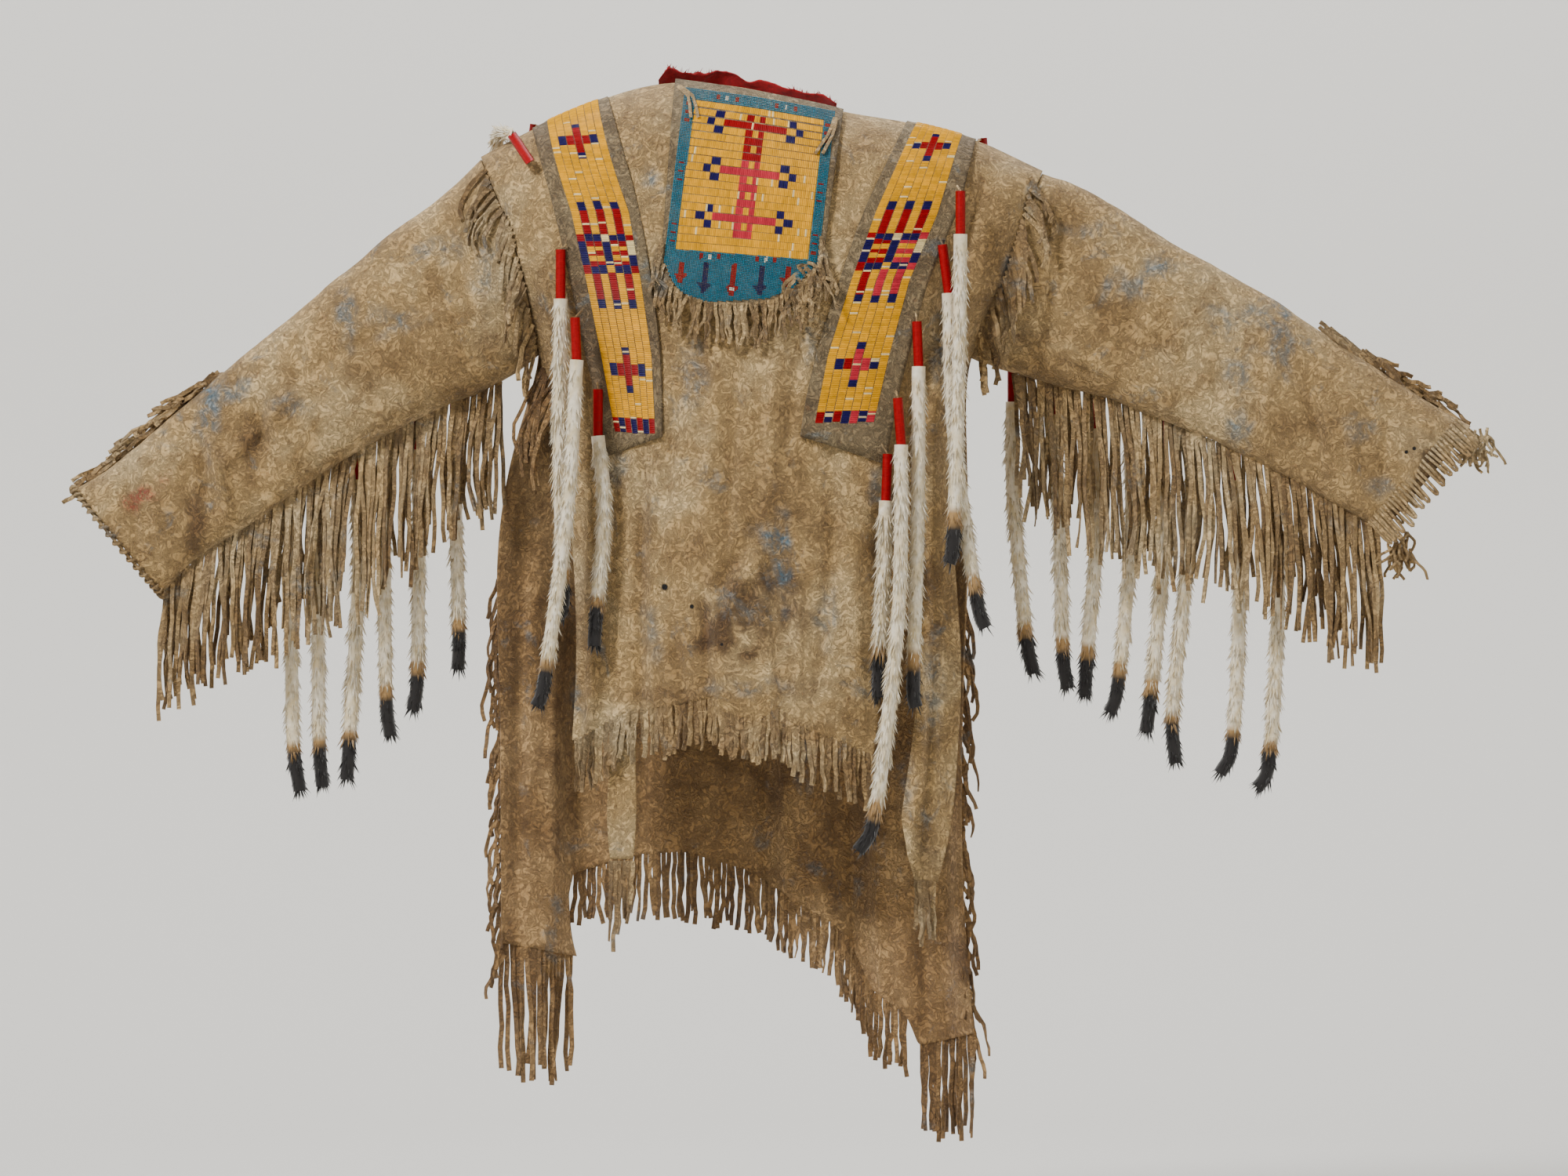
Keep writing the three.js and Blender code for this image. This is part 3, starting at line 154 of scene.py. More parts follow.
soft_light("key", (-2.4, -2.9, 2.7), (0, 0, -0.5), 0.9, 250)
soft_light("fill", (2.3, -2.3, 0.9), (0, 0, -0.6), 1.6, 16)
soft_light("rim", (0.6, 2.0, 2.6), (0, 0, -0.3), 2.0, 40)
soft_light("backdrop", (0, 0.9, 1.9), (0, 2.8, -0.6), 1.6, 60)
world = bpy.data.worlds.new("studio")
world.use_nodes = True
world.node_tree.nodes["Background"].inputs[0].default_value = (0.9, 0.93, 1, 1)
world.node_tree.nodes["Background"].inputs[1].default_value = 0.32
bpy.context.scene.world = world
print("lights: key, fill, rim and backdrop")


# %% [markdown]
# Every finish is a node tree. One function adds a node with its settings and its links, and another
# turns a hex colour, as a picture editor shows it, into the linear values that light works with.

# %% A colour and a node
def colour(code):
    parts = [int(code[k:k + 2], 16) / 255 for k in (1, 3, 5)]
    return tuple(c / 12.92 if c <= 0.04045 else ((c + 0.055) / 1.055) ** 2.4 for c in parts) + (1,)


def add(tree, kind, links=None, **settings):
    node = tree.nodes.new(kind)
    for key, value in settings.items():
        if key.startswith("in_"):
            name = key[3:]
            node.inputs[int(name) if name.isdigit() else name.replace("_", " ")].default_value = value
        else:
            setattr(node, key, value)
    for socket, source in (links or {}).items():
        tree.links.new(source, node.inputs[socket])
    return node


def new_finish(name, roughness, ior=1.5, **levels):
    material = bpy.data.materials.new(name)
    material.use_nodes = True
    tree = material.node_tree
    tree.nodes.clear()
    shader = add(tree, "ShaderNodeBsdfPrincipled", in_Roughness=roughness, in_IOR=ior, **levels)
    output = add(tree, "ShaderNodeOutputMaterial")
    tree.links.new(shader.outputs[0], output.inputs[0])
    return material, tree, shader


def ramp(tree, source, stops):
    node = add(tree, "ShaderNodeValToRGB", {0: source})
    line = node.color_ramp
    while len(line.elements) < len(stops):
        line.elements.new(0.5)
    for element, (place, code) in zip(line.elements, stops):
        element.position = place
        element.color = colour(code) if isinstance(code, str) else (code, code, code, 1)
    return node.outputs[0]


def blend(tree, share, a, b, kind="MIX"):
    node = add(tree, "ShaderNodeMix", data_type="RGBA", blend_type=kind)
    for socket, value in ((0, share), (6, a), (7, b)):
        if isinstance(value, bpy.types.NodeSocket):
            tree.links.new(value, node.inputs[socket])
        else:
            node.inputs[socket].default_value = colour(value) if isinstance(value, str) else value
    return node.outputs[2]


plain, tree, shader = new_finish("pale matt studio paint", 0.9, in_Base_Color=colour("#dcdad5"))
nothing = add(tree, "ShaderNodeBsdfTransparent")
side_seen = add(tree, "ShaderNodeNewGeometry").outputs["Backfacing"]
one_way = add(tree, "ShaderNodeMixShader", {0: side_seen, 1: shader.outputs[0], 2: nothing.outputs[0]})
tree.links.new(one_way.outputs[0], tree.nodes["Material Output"].inputs[0])
floor.data.materials.append(plain)


# %% [markdown]
# The skins are brain-tanned and smoked: a felted, matt surface from cream to tan, darker where hands,
# smoke and earth have touched it, with blue earth paint rubbed into it here and there. Cloudy noise at
# several sizes makes the mottling, and the colour is darkened in the troughs of the creases as painted
# shade. Stains that lie in one place come from three attributes that are painted on the points further
# down: one for the brown blots, which also holds painted shade in some folds and under the right cuff
# loops, "paint" for the blue and "red_earth" for a few red smears. A few small worn holes are drawn as
# black spots, painted shade of the shirt's inside, each at its own place.

# %% Brain-tanned hide
# each hole: its place and its radius in millimetres
holes = [(-95, -575, 5), (-64, -597, 3.2), (750, -421, 2.6), (759, -417, 2.6), (-30, -640, 2.2)]


def noise_at(tree, place, scale, detail=5, roughness=0.6, distortion=0.0):
    return add(tree, "ShaderNodeTexNoise", {"Vector": place}, in_Scale=scale, in_Detail=detail,
               in_Roughness=roughness, in_Distortion=distortion).outputs[0]


def painted_share(tree, place, label, scale):
    spots = ramp(tree, noise_at(tree, place, scale, 5, 0.65, 0.8), [(0.4, 0.1), (0.6, 1.0)])
    amount = add(tree, "ShaderNodeAttribute", attribute_name=label).outputs["Fac"]
    return add(tree, "ShaderNodeMath", {0: spots, 1: amount}, operation="MULTIPLY").outputs[0]


def hide_finish(name, pale, middle, deep, dirt, pierced=()):
    material, tree, shader = new_finish(name, 0.88, 1.45, in_Sheen_Weight=0.15, in_Sheen_Roughness=0.6,
                                        in_Specular_IOR_Level=0.2)
    place = add(tree, "ShaderNodeTexCoord").outputs["Object"]
    # clouds 140 mm across, blots of 40 mm, and flecks of 7 mm
    base = ramp(tree, noise_at(tree, place, 7, 7, 0.62, 0.4), [(0.32, deep), (0.48, middle), (0.64, pale)])
    blots = ramp(tree, noise_at(tree, place, 26, 6, 0.68, 0.6), [(0.48, 0.0), (0.7, 0.7)])
    flecks = ramp(tree, noise_at(tree, place, 140, 3), [(0.6, 0.0), (0.7, 0.45)])
    fine = blend(tree, flecks, blend(tree, blots, base, dirt), "#6b4424")
    # the brown blots painted on the points: soil stains, and painted shade in some folds and under the right
    # cuff loops
    earth_and_shade = add(tree, "ShaderNodeAttribute", attribute_name="earth_and_shade").outputs["Fac"]
    soiled_and_shaded = blend(tree, earth_and_shade, fine, "#5a3c20")
    painted = blend(tree, painted_share(tree, place, "paint", 60), soiled_and_shaded, "#5a8499")
    stray = ramp(tree, noise_at(tree, place, 19, 7, 0.72, 0.5), [(0.58, 0.0), (0.68, 0.5)])
    dusted = blend(tree, stray, painted, "#748b95")
    smeared = blend(tree, painted_share(tree, place, "red_earth", 240), dusted, "#a8302a")
    # creases 13 mm apart that wander like veins, a pebbled grain of 4 mm, and the nap; the colour is darkened in
    # the crease troughs as painted shade
    veins = ramp(tree, noise_at(tree, place, 78, 7, 0.6, 1.6), [(0.41, 1.0), (0.5, 0.0), (0.57, 0.9)])
    grain = noise_at(tree, place, 240, 5, 0.7, 0.5)
    crease_shaded = blend(tree, 0.3, smeared, veins, "MULTIPLY")
    final = blend(tree, 0.6, crease_shaded, ramp(tree, grain, [(0.36, 0.6), (0.54, 1.0)]), "MULTIPLY")
    # each hole is painted black: painted shade of the shirt's inside, seen through it
    for x, z, radius in pierced:
        level = add(tree, "ShaderNodeVectorMath", {0: place}, operation="MULTIPLY", in_1=(1, 0, 1)).outputs[0]
        gap = add(tree, "ShaderNodeVectorMath", {0: level}, operation="DISTANCE", in_1=(x * mm, 0, z * mm))
        rim = add(tree, "ShaderNodeMapRange", {"Value": gap.outputs["Value"]}, in_1=radius * 0.6 * mm,
                  in_2=radius * mm)
        final = blend(tree, 1.0, final, rim.outputs[0], "MULTIPLY")
    tree.links.new(final, shader.inputs["Base Color"])
    low = add(tree, "ShaderNodeBump", {"Height": veins}, in_Strength=0.7, in_Distance=0.0035)
    pebble = add(tree, "ShaderNodeBump", {"Height": grain, "Normal": low.outputs[0]}, in_Strength=0.9,
                 in_Distance=0.0032)
    high = add(tree, "ShaderNodeBump", {"Height": noise_at(tree, place, 620, 3), "Normal": pebble.outputs[0]},
               in_Strength=0.4, in_Distance=0.0006)
    tree.links.new(high.outputs[0], shader.inputs["Normal"])
    return material


hide = hide_finish("brain-tanned hide", "#ebcb94", "#cfaa70", "#a58352", "#8d6d42", holes)
# the flesh-side finish is a darker copy of the hide: partly the flesh side's own tone, partly painted shade for
# the inside of the shirt and for thongs that hang behind the front and under the arm
inner_hide = hide_finish("smoked hide, flesh side, with painted shade", "#d0a872", "#b18a58", "#8a683f", "#72512f")
thong_hide = hide_finish("cut hide thongs", "#f3d7a4", "#d9b57d", "#b08c58", "#937042")
print("hide finishes made")


# %% Dyed quills, glass beads, wool and fur
def tint_finish(name, roughness, ior, bump_size=0, bump_deep=0.0, unevenness=0.12, **levels):
    material, tree, shader = new_finish(name, roughness, ior, in_Coat_Roughness=0.2, **levels)
    place = add(tree, "ShaderNodeTexCoord").outputs["Object"]
    tint = add(tree, "ShaderNodeAttribute", attribute_name="tint").outputs["Color"]
    uneven = add(tree, "ShaderNodeTexNoise", {"Vector": place}, in_Scale=210, in_Detail=3)
    dull = ramp(tree, uneven.outputs[0], [(0.3, 1.0 - 2 * unevenness), (0.7, 1.0)])
    shade = blend(tree, 1.0, tint, dull, "MULTIPLY")
    tree.links.new(shade, shader.inputs["Base Color"])
    if bump_size:
        grain = add(tree, "ShaderNodeTexNoise", {"Vector": place}, in_Scale=bump_size, in_Detail=2)
        bump = add(tree, "ShaderNodeBump", {"Height": grain.outputs[0]}, in_Strength=0.5, in_Distance=bump_deep)
        tree.links.new(bump.outputs[0], shader.inputs["Normal"])
    return material


# quills shine a little, with ridges of 1 mm; beads are smooth glass, dulled by handling
quills = tint_finish("dyed porcupine quills", 0.45, 1.54, 900, 0.0002, 0.1, in_Specular_IOR_Level=0.12)
beads = tint_finish("drawn glass seed beads", 0.3, 1.52, in_Coat_Weight=0.06, in_Specular_IOR_Level=0.2)
# fur and wool scatter light at their edges; the wool's felted nap shows as grain of 2 mm
fur = tint_finish("ermine fur", 0.8, 1.5, unevenness=0.1, in_Sheen_Weight=0.3)
wool = tint_finish("fulled red trade wool", 0.95, 1.5, 420, 0.0012, 0.2, in_Sheen_Weight=0.12)
border_hide = hide_finish("darkened hide border", "#ab9670", "#937d5a", "#755f42", "#5d4a32")
print("tinted finishes made")


# %% [markdown]
# A skin's solid is a coarse closed wall. A merged copy of it is subdivided into a smooth one, with its
# cut edges kept sharp. Then each crease is pressed in: a line from one point to another, half
# as wide as it looks, and as deep as its own fold. Troughs are pressed in and ridges pushed out, with
# soft noise for the small slack that a skin has between them.

# %% Smooth walls from the solids
merge_within = 0.02
cut_edge_turn = 0.9


def wall_copy(name, node, levels):
    piece = new_mesh(name, [], [])
    shape = bmesh.new()
    shape.from_mesh(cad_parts[node].data)
    bmesh.ops.remove_doubles(shape, verts=shape.verts, dist=merge_within * mm)
    bmesh.ops.join_triangles(shape, faces=shape.faces, angle_face_threshold=0.7, angle_shape_threshold=1.2)
    sharp = shape.edges.layers.float.new("crease_edge")
    for edge in shape.edges:
        if len(edge.link_faces) == 2 and edge.calc_face_angle(0) > cut_edge_turn:
            edge[sharp] = 1.0
    shape.to_mesh(piece.data)
    shape.free()
    smooth = piece.modifiers.new("smooth", "SUBSURF")
    smooth.levels = smooth.render_levels = levels
    apply_modifiers(piece)
    for face in piece.data.polygons:
        face.use_smooth = True
    return piece


def evaluated_mesh(thing):
    graph = bpy.context.evaluated_depsgraph_get()
    graph.update()
    return bpy.data.meshes.new_from_object(thing.evaluated_get(graph))


def apply_modifiers(piece):
    done, old = evaluated_mesh(piece), piece.data
    piece.modifiers.clear()
    piece.data = done
    bpy.data.meshes.remove(old)


def finish_with(piece, *finishes):
    piece.data.materials.clear()
    for finish in finishes:
        piece.data.materials.append(finish)


def coordinates(piece):
    flat = np.empty(3 * len(piece.data.vertices))
    piece.data.vertices.foreach_get("co", flat)
    return flat.reshape(-1, 3)


def put_coordinates(piece, points):
    piece.data.vertices.foreach_set("co", points.reshape(-1))
    piece.data.update()


def near_line(points, line):
    ax, az, bx, bz = (value * mm for value in line[:4])
    along = np.array([bx - ax, bz - az])
    share = ((points[:, 0] - ax) * along[0] + (points[:, 2] - az) * along[1]) / along.dot(along)
    share = np.clip(share, 0, 1)
    away = np.hypot(points[:, 0] - ax - share * along[0], points[:, 2] - az - share * along[1])
    return np.exp(-(away / (line[4] * mm)) ** 2) * np.sin(math.pi * np.clip(share, 0.08, 0.92)) ** 0.4


def slack(points, size, deep, seed):
    return np.array([deep * noise.fractal(Vector(p * size) + Vector((seed, 0, 0)), 1, 2, 3) for p in points])


fold_gain = 1.7
fine_slack_size, fine_slack_deep = 30, 0.9


def press(piece, creases, way, keep, slack_size=9, slack_deep=1.6, seed=0):
    points = coordinates(piece)
    rise = sum(fold_gain * line[5] * mm * near_line(points, line) for line in creases)
    rise = rise + slack(points, slack_size, slack_deep * mm, seed)
    rise = rise + slack(points, fine_slack_size, fine_slack_deep * mm, seed + 3)
    put_coordinates(piece, points + way(points) * (rise * keep(points))[:, None])


print("wall helpers ready")

# %% [markdown]
# The front skin hangs from the shoulders and closes round the chest. Its folds run down from the
# bib and the shoulder bands, and it curls a little where it was cut. The push is straight forward or
# back, so both faces of the wall move together and its thickness stays.

# %% The front skin
# each crease: where it starts and ends, half its width, and how far it stands out, or sinks where negative
front_creases = [
    (-120, -440, -122, -735, 7, -5), (-112, -470, -108, -740, 6, 3), (-150, -420, -172, -690, 8, -4),
    (-176, -430, -190, -620, 6, 3), (-64, -262, -100, -520, 8, -3), (-30, -270, -52, -520, 9, 3),
    (-8, -290, -30, -600, 8, -4), (30, -280, 22, -520, 10, 4), (62, -250, 44, -430, 8, -4),
    (84, -300, 100, -560, 9, -4), (100, -470, 78, -700, 8, -4), (118, -520, 130, -740, 7, 3),
    (10, -540, 30, -712, 7, 3), (-52, -560, -44, -705, 7, -4), (-90, -600, -70, -712, 7, -3),
    (60, -560, 54, -735, 6, 3), (148, -470, 160, -640, 8, -4), (188, -480, 206, -620, 7, -3),
    (200, -660, 196, -890, 7, -3), (214, -620, 210, -880, 6, 3), (240, -130, 214, -300, 6, -4),
    (270, -140, 232, -310, 7, 3), (-262, -130, -236, -300, 6, -4), (-186, -640, -192, -745, 5, -3),
    (-140, -560, -60, -600, 9, -2.5), (-20, -420, 90, -470, 12, -2.5), (-70, -660, 30, -690, 8, 2),
    (-34, -578, 4, -512, 8, -5), (6, -508, 44, -596, 8, -5), (-20, -590, 20, -530, 8, 4),
]


def forward(points):
    return np.tile([0.0, -1.0, 0.0], (len(points), 1))


def off_seams(points):
    # nothing moves at the shoulder seam, nor at the armhole seams above the armpits
    from_top = np.clip((-0.035 - points[:, 2]) / 0.05, 0, 1)
    edge = np.where(points[:, 2] > -0.33, np.clip((0.262 - np.abs(points[:, 0] - 0.012)) / 0.03, 0, 1), 1)
    return from_top * edge


front = wall_copy("front_skin", "front_panel", 3)
press(front, front_creases, forward, off_seams, 8, 2.6, 1)
print("front skin:", len(front.data.polygons), "faces")

# %% The back skin
back_creases = [
    (-262, -520, -268, -980, 10, 6), (-222, -600, -226, -960, 9, -6), (-150, -560, -158, -890, 10, -5),
    (-120, -600, -124, -880, 9, 4), (-90, -640, -96, -880, 8, -4), (-34, -600, -28, -890, 9, 4),
    (34, -640, 44, -930, 7, -5), (82, -660, 104, -960, 8, 5), (136, -700, 152, -1040, 7, -5),
    (196, -720, 204, -1090, 8, 5), (236, -760, 242, -1080, 7, -4), (-200, -240, -120, -620, 14, -6),
    (-60, -180, -20, -560, 16, 5), (80, -160, 60, -600, 15, -6), (190, -240, 150, -620, 13, -6),
    (20, -120, 0, -420, 18, 4), (-240, -340, -60, -420, 16, -4), (210, -330, 60, -420, 16, -4),
    (-180, -460, 160, -500, 18, 2.5), (-120, -760, 20, -800, 10, -3), (140, -860, 220, -900, 9, -3),
]


def backward(points):
    return -forward(points)


back = wall_copy("back_skin", "back_panel", 3)
press(back, back_creases, backward, off_seams, 7, 3.0, 9)
print("back skin:", len(back.data.polygons), "faces")

# %% [markdown]
# A sleeve is a tapering tube. Its folds are pressed towards its own middle line, so they show on the
# back as they do in front. The deepest ones lie where the elbow would bend.

# %% The sleeves
# each ring: its top and its low point, how deep it is, and how far it lies forward
sleeve_rings = {
    "left": [(-307, -82, -239, -311, 0, 0), (-355, -126, -283, -342, 108, 0), (-463, -211, -372, -380, 98, 3),
             (-580, -310, -485, -443, 84, 8), (-652, -369, -562, -499, 76, 12),
             (-724, -432, -622, -535, 68, 16), (-770, -461, -668, -582, 62, 20)],
    "right": [(337, -98, 252, -311, 0, 0), (387, -117, 302, -333, 108, 0), (482, -176, 401, -356, 100, 2),
              (580, -230, 491, -392, 92, 6), (690, -304, 581, -432, 82, 10), (790, -368, 680, -484, 74, 16),
              (828, -389, 722, -514, 70, 18)],
}
sleeve_creases = {
    "left": [(-648, -400, -634, -506, 7, -5), (-612, -410, -598, -480, 6, 4), (-590, -340, -556, -470, 7, -5),
             (-560, -320, -520, -450, 8, 4), (-520, -300, -470, -420, 9, -4), (-480, -240, -430, -390, 10, 3),
             (-420, -210, -360, -360, 9, -4), (-380, -170, -320, -340, 10, 3), (-350, -160, -292, -320, 7, -4),
             (-690, -430, -664, -560, 6, 3), (-712, -440, -690, -560, 5, -3), (-500, -340, -640, -470, 8, 2.5),
             (-330, -230, -500, -330, 10, -2.5), (-628, -412, -612, -492, 10, -7),
             (-614, -412, -596, -486, 8, 6), (-562, -362, -550, -440, 10, -9)],
    "right": [(360, -150, 330, -320, 8, -4), (400, -170, 372, -330, 9, 3), (450, -200, 420, -350, 9, -4),
              (500, -230, 480, -370, 8, 4), (548, -260, 530, -390, 8, -4), (600, -290, 590, -420, 7, 4),
              (640, -320, 650, -450, 8, -5), (690, -350, 690, -470, 7, 3), (730, -380, 716, -490, 6, -4),
              (770, -390, 750, -490, 6, 3), (300, -200, 460, -300, 10, -3), (430, -290, 600, -400, 8, -3),
              (560, -300, 720, -430, 8, 2.5), (330, -290, 420, -335, 6, 3)],
}


def ring_point(side, row, turn):
    x_top, z_top, x_low, z_low, deep, fore = (value * mm for value in sleeve_rings[side][row])
    share = (1 - math.cos(turn)) / 2
    forth = math.copysign(abs(math.sin(turn)) ** 0.85, math.sin(turn))
    return np.array([x_top + (x_low - x_top) * share, -fore - deep / 2 * forth,
                     z_top + (z_low - z_top) * share])


def middle_line(side):
    return np.array([(ring_point(side, row, 0) + ring_point(side, row, math.pi)) / 2
                     for row in range(len(sleeve_rings[side]))])


def from_middle(side):
    line = middle_line(side)

    def way(points):
        best = np.full(len(points), 1e9)
        out = np.zeros_like(points)
        for a, b in zip(line[:-1], line[1:]):
            share = np.clip((points - a) @ (b - a) / ((b - a) @ (b - a)), 0, 1)
            gap = points - a - share[:, None] * (b - a)
            far = np.linalg.norm(gap, axis=1)
            near = far < best
            best = np.where(near, far, best)
            out[near] = gap[near] / far[near, None]
        return out
    return way


def off_armhole(points):
    seam = 0.307 - (-0.082 - points[:, 2]) * 0.3
    return np.clip((np.abs(points[:, 0]) - seam - 0.006) / 0.05, 0, 1)


sleeves = {}
for side in ("left", "right"):
    sleeve = wall_copy(f"{side}_sleeve", f"sleeve_{side}", 3)
    press(sleeve, sleeve_creases[side], from_middle(side), off_armhole, 11, 2.4, 3 + len(side))
    sleeves[side] = sleeve
    print(side, "sleeve:", len(sleeve.data.polygons), "faces")

# %% [markdown]
# Stains belong to one place, and so does the painted shade in some folds and under the right cuff
# loops, so they are painted on the points. Each is a soft blot with a ragged rim, which noise gives it.

# %% Earth and paint stains, and painted shade
# each blot: its middle, how wide and high it is, and its strength
# the brown blots are soil stains, except for painted shade: the narrow ones along fold troughs at (-120, -520),
# (150, -560), (210, -620) and (200, -860), the one at (-190, -600) on the front's receding left side, the two in
# the left sleeve's deep folds at (-630, -500) and (-566, -410), and the last four
earth_and_shade_blots = [
    (0, -600, 60, 46, 0.75), (-30, -640, 34, 30, 0.6), (34, -560, 30, 26, 0.5), (-120, -520, 16, 60, 0.45),
    (-190, -600, 20, 110, 0.5), (-100, -700, 60, 12, 0.4), (150, -560, 20, 90, 0.35), (210, -620, 14, 60, 0.4),
    (205, -420, 30, 40, 0.35), (-240, -250, 22, 40, 0.4), (-290, -300, 24, 30, 0.5), (-630, -500, 12, 40, 0.75),
    (-566, -410, 14, 34, 0.65), (-440, -330, 40, 16, 0.35), (-700, -470, 30, 24, 0.3), (330, -290, 50, 12, 0.4),
    (470, -300, 40, 18, 0.3), (640, -390, 40, 22, 0.35), (760, -430, 26, 40, 0.35), (80, -500, 30, 20, 0.4),
    (20, -735, 80, 10, 0.35), (200, -860, 14, 50, 0.45), (-40, -450, 40, 14, 0.3), (60, -690, 30, 16, 0.45),
    # these four darken the sleeve along the right cuff, under its loops: painted shade
    (783, -430, 12, 12, 0.9), (770, -449, 12, 12, 0.9), (756, -469, 12, 12, 0.9), (743, -488, 12, 12, 0.9),
]
paint_blots = [
    (36, -540, 14, 50, 0.9), (20, -510, 22, 12, 0.7), (-60, -330, 18, 40, 0.5), (120, -300, 16, 60, 0.6),
    (220, -300, 14, 50, 0.6), (-150, -440, 16, 20, 0.5), (-400, -270, 26, 20, 0.6), (-520, -370, 22, 14, 0.6),
    (430, -230, 30, 20, 0.5), (560, -330, 20, 26, 0.6), (700, -400, 20, 18, 0.5), (210, -700, 12, 60, 0.55),
    (-110, -620, 14, 30, 0.5), (0, -690, 40, 10, 0.5), (90, -610, 12, 40, 0.55), (-200, -700, 10, 30, 0.5),
    (-300, -220, 16, 30, 0.5), (300, -220, 14, 30, 0.5), (150, -470, 12, 30, 0.6), (180, -800, 12, 30, 0.4),
    (-620, -380, 16, 40, 0.7), (-590, -350, 30, 14, 0.6), (-460, -260, 14, 34, 0.6), (-350, -190, 30, 14, 0.6),
    (575, -262, 40, 16, 0.9), (610, -300, 16, 40, 0.8), (560, -400, 14, 40, 0.7), (470, -210, 30, 14, 0.6),
    (390, -170, 30, 12, 0.7), (-110, -110, 10, 16, 0.7), (720, -460, 20, 12, 0.5), (-130, -330, 10, 50, 0.5),
]
smear_blots = [(-704, -479, 14, 9, 0.7), (-686, -470, 13, 9, 0.8), (-668, -455, 10, 9, 0.5)]


def paint_on(piece, name, blots):
    points = coordinates(piece)
    total = np.zeros(len(points))
    ragged = slack(points, 45, 0.7, 4)
    for x, z, wide, high, strength in blots:
        far = np.hypot((points[:, 0] - x * mm) / (wide * mm), (points[:, 2] - z * mm) / (high * mm))
        total += strength * np.clip(1.25 - far - ragged, 0, 1)
    layer = piece.data.attributes.new(name, "FLOAT", "POINT")
    layer.data.foreach_set("value", np.clip(total, 0, 0.85))


skins = [front, back, *sleeves.values()]
for piece in skins:
    paint_on(piece, "earth_and_shade", earth_and_shade_blots)
    paint_on(piece, "paint", paint_blots)
    paint_on(piece, "red_earth", smear_blots)
    finish_with(piece, hide)
# the back skin's faces that look forward, into the shirt, take the darker flesh-side finish: partly painted
# shade inside the shirt
back.data.materials.append(inner_hide)
for face in back.data.polygons:
    face.material_index = 1 if face.normal.y < 0 else 0
print("stains painted on", len(skins), "skins")

# %% [markdown]
# Everything that lies on the skins is placed by looking at them: a straight line is sent towards the
# finished skin, and the piece goes where it lands.

# %% Looking at a finished piece
def look_up(*pieces):
    points, faces = [], []
    for piece in pieces:
        start = len(points)
        points += [vertex.co.copy() for vertex in piece.data.vertices]
        faces += [[start + k for k in face.vertices] for face in piece.data.polygons]
    return BVHTree.FromPolygons(points, faces)


def seen(tree, x, z, toward=-1):
    spot, normal = tree.ray_cast(Vector((x, 3 * toward, z)), Vector((0, -toward, 0)))[:2]
    return (np.array(spot), np.array(normal)) if spot else (None, None)


skin_tree = look_up(front, *sleeves.values())
back_tree = look_up(back, *sleeves.values())
print("skins can be looked at")


# %% [markdown]
# One node tree sets a small shape at every point of a list: quills, beads and hairs all use it. The
# points carry how each copy is turned, how large it is, and its tint. The copies are made real at the end,
# because only real faces can be exported.

# %% A node tree that sets one shape at every point
def new_tree(name, sockets):
    tree = bpy.data.node_groups.new(name, "GeometryNodeTree")
    tree.interface.new_socket("Geometry", in_out="INPUT", socket_type="NodeSocketGeometry")
    for label, kind, value in sockets:
        socket = tree.interface.new_socket(label, in_out="INPUT", socket_type=kind)
        if value is not None:
            socket.default_value = value
    tree.interface.new_socket("Geometry", in_out="OUTPUT", socket_type="NodeSocketGeometry")
    return tree, add(tree, "NodeGroupInput"), add(tree, "NodeGroupOutput")


def end_tree(tree, source, result, last):
    real = add(tree, "GeometryNodeRealizeInstances", {0: last.outputs[0]})
    final = add(tree, "GeometryNodeSetMaterial",
                {"Geometry": real.outputs[0], "Material": source.outputs["Finish"]})
    tree.links.new(final.outputs[0], result.inputs[0])


def named(tree, name, kind):
    return add(tree, "GeometryNodeInputNamedAttribute", in_Name=name, data_type=kind).outputs[0]


stamp_tree, source, result = new_tree("set one shape at every point", [
    ("Shape", "NodeSocketObject", None), ("Finish", "NodeSocketMaterial", None)])
shape = add(stamp_tree, "GeometryNodeObjectInfo", {"Object": source.outputs["Shape"]})
turned = add(stamp_tree, "FunctionNodeEulerToRotation", {0: named(stamp_tree, "turn", "FLOAT_VECTOR")})
copies = add(stamp_tree, "GeometryNodeInstanceOnPoints", {
    "Points": source.outputs[0], "Instance": shape.outputs["Geometry"], "Rotation": turned.outputs[0],
    "Scale": named(stamp_tree, "size", "FLOAT_VECTOR")})
end_tree(stamp_tree, source, result, copies)


def set_tree(thing, tree, **values):
    modifier = thing.modifiers.new("tree", "NODES")
    modifier.node_group = tree
    for item in tree.interface.items_tree:
        if item.item_type == "SOCKET" and item.in_out == "INPUT" and item.name in values:
            modifier[item.identifier] = values[item.name]


def start_rows():
    return [], [], [], []


def turn_of(across, along):
    up = np.cross(across, along)
    x, y, z = (Vector(v).normalized() for v in (across, along, up))
    return tuple(Matrix((x, y, z)).transposed().to_euler())


def put(rows, spot, across, along, size, tint):
    for row, value in zip(rows, (spot, turn_of(across, along), size, tint)):
        row.append(value)


def stamp(name, shape, finish, places, turns, sizes, tints):
    piece = new_mesh(name, places, [])
    layers = (("turn", "FLOAT_VECTOR", "vector", turns), ("size", "FLOAT_VECTOR", "vector", sizes),
              ("tint", "FLOAT_COLOR", "color", tints))
    for label, kind, field, values in layers:
        layer = piece.data.attributes.new(label, kind, "POINT")
        layer.data.foreach_set(field, np.array(values, dtype=float).reshape(-1))
    set_tree(piece, stamp_tree, Shape=shape, Finish=finish)
    apply_modifiers(piece)
    print(name, "has", len(places), "copies")
    return piece


print("stamp tree ready")

# %% [markdown]
# The small shapes themselves have only a few faces each: a quill wrap is a low pillow, a bead a squat
# round grain, and a hair a thin spike that bends once. They are deleted once they have been copied.

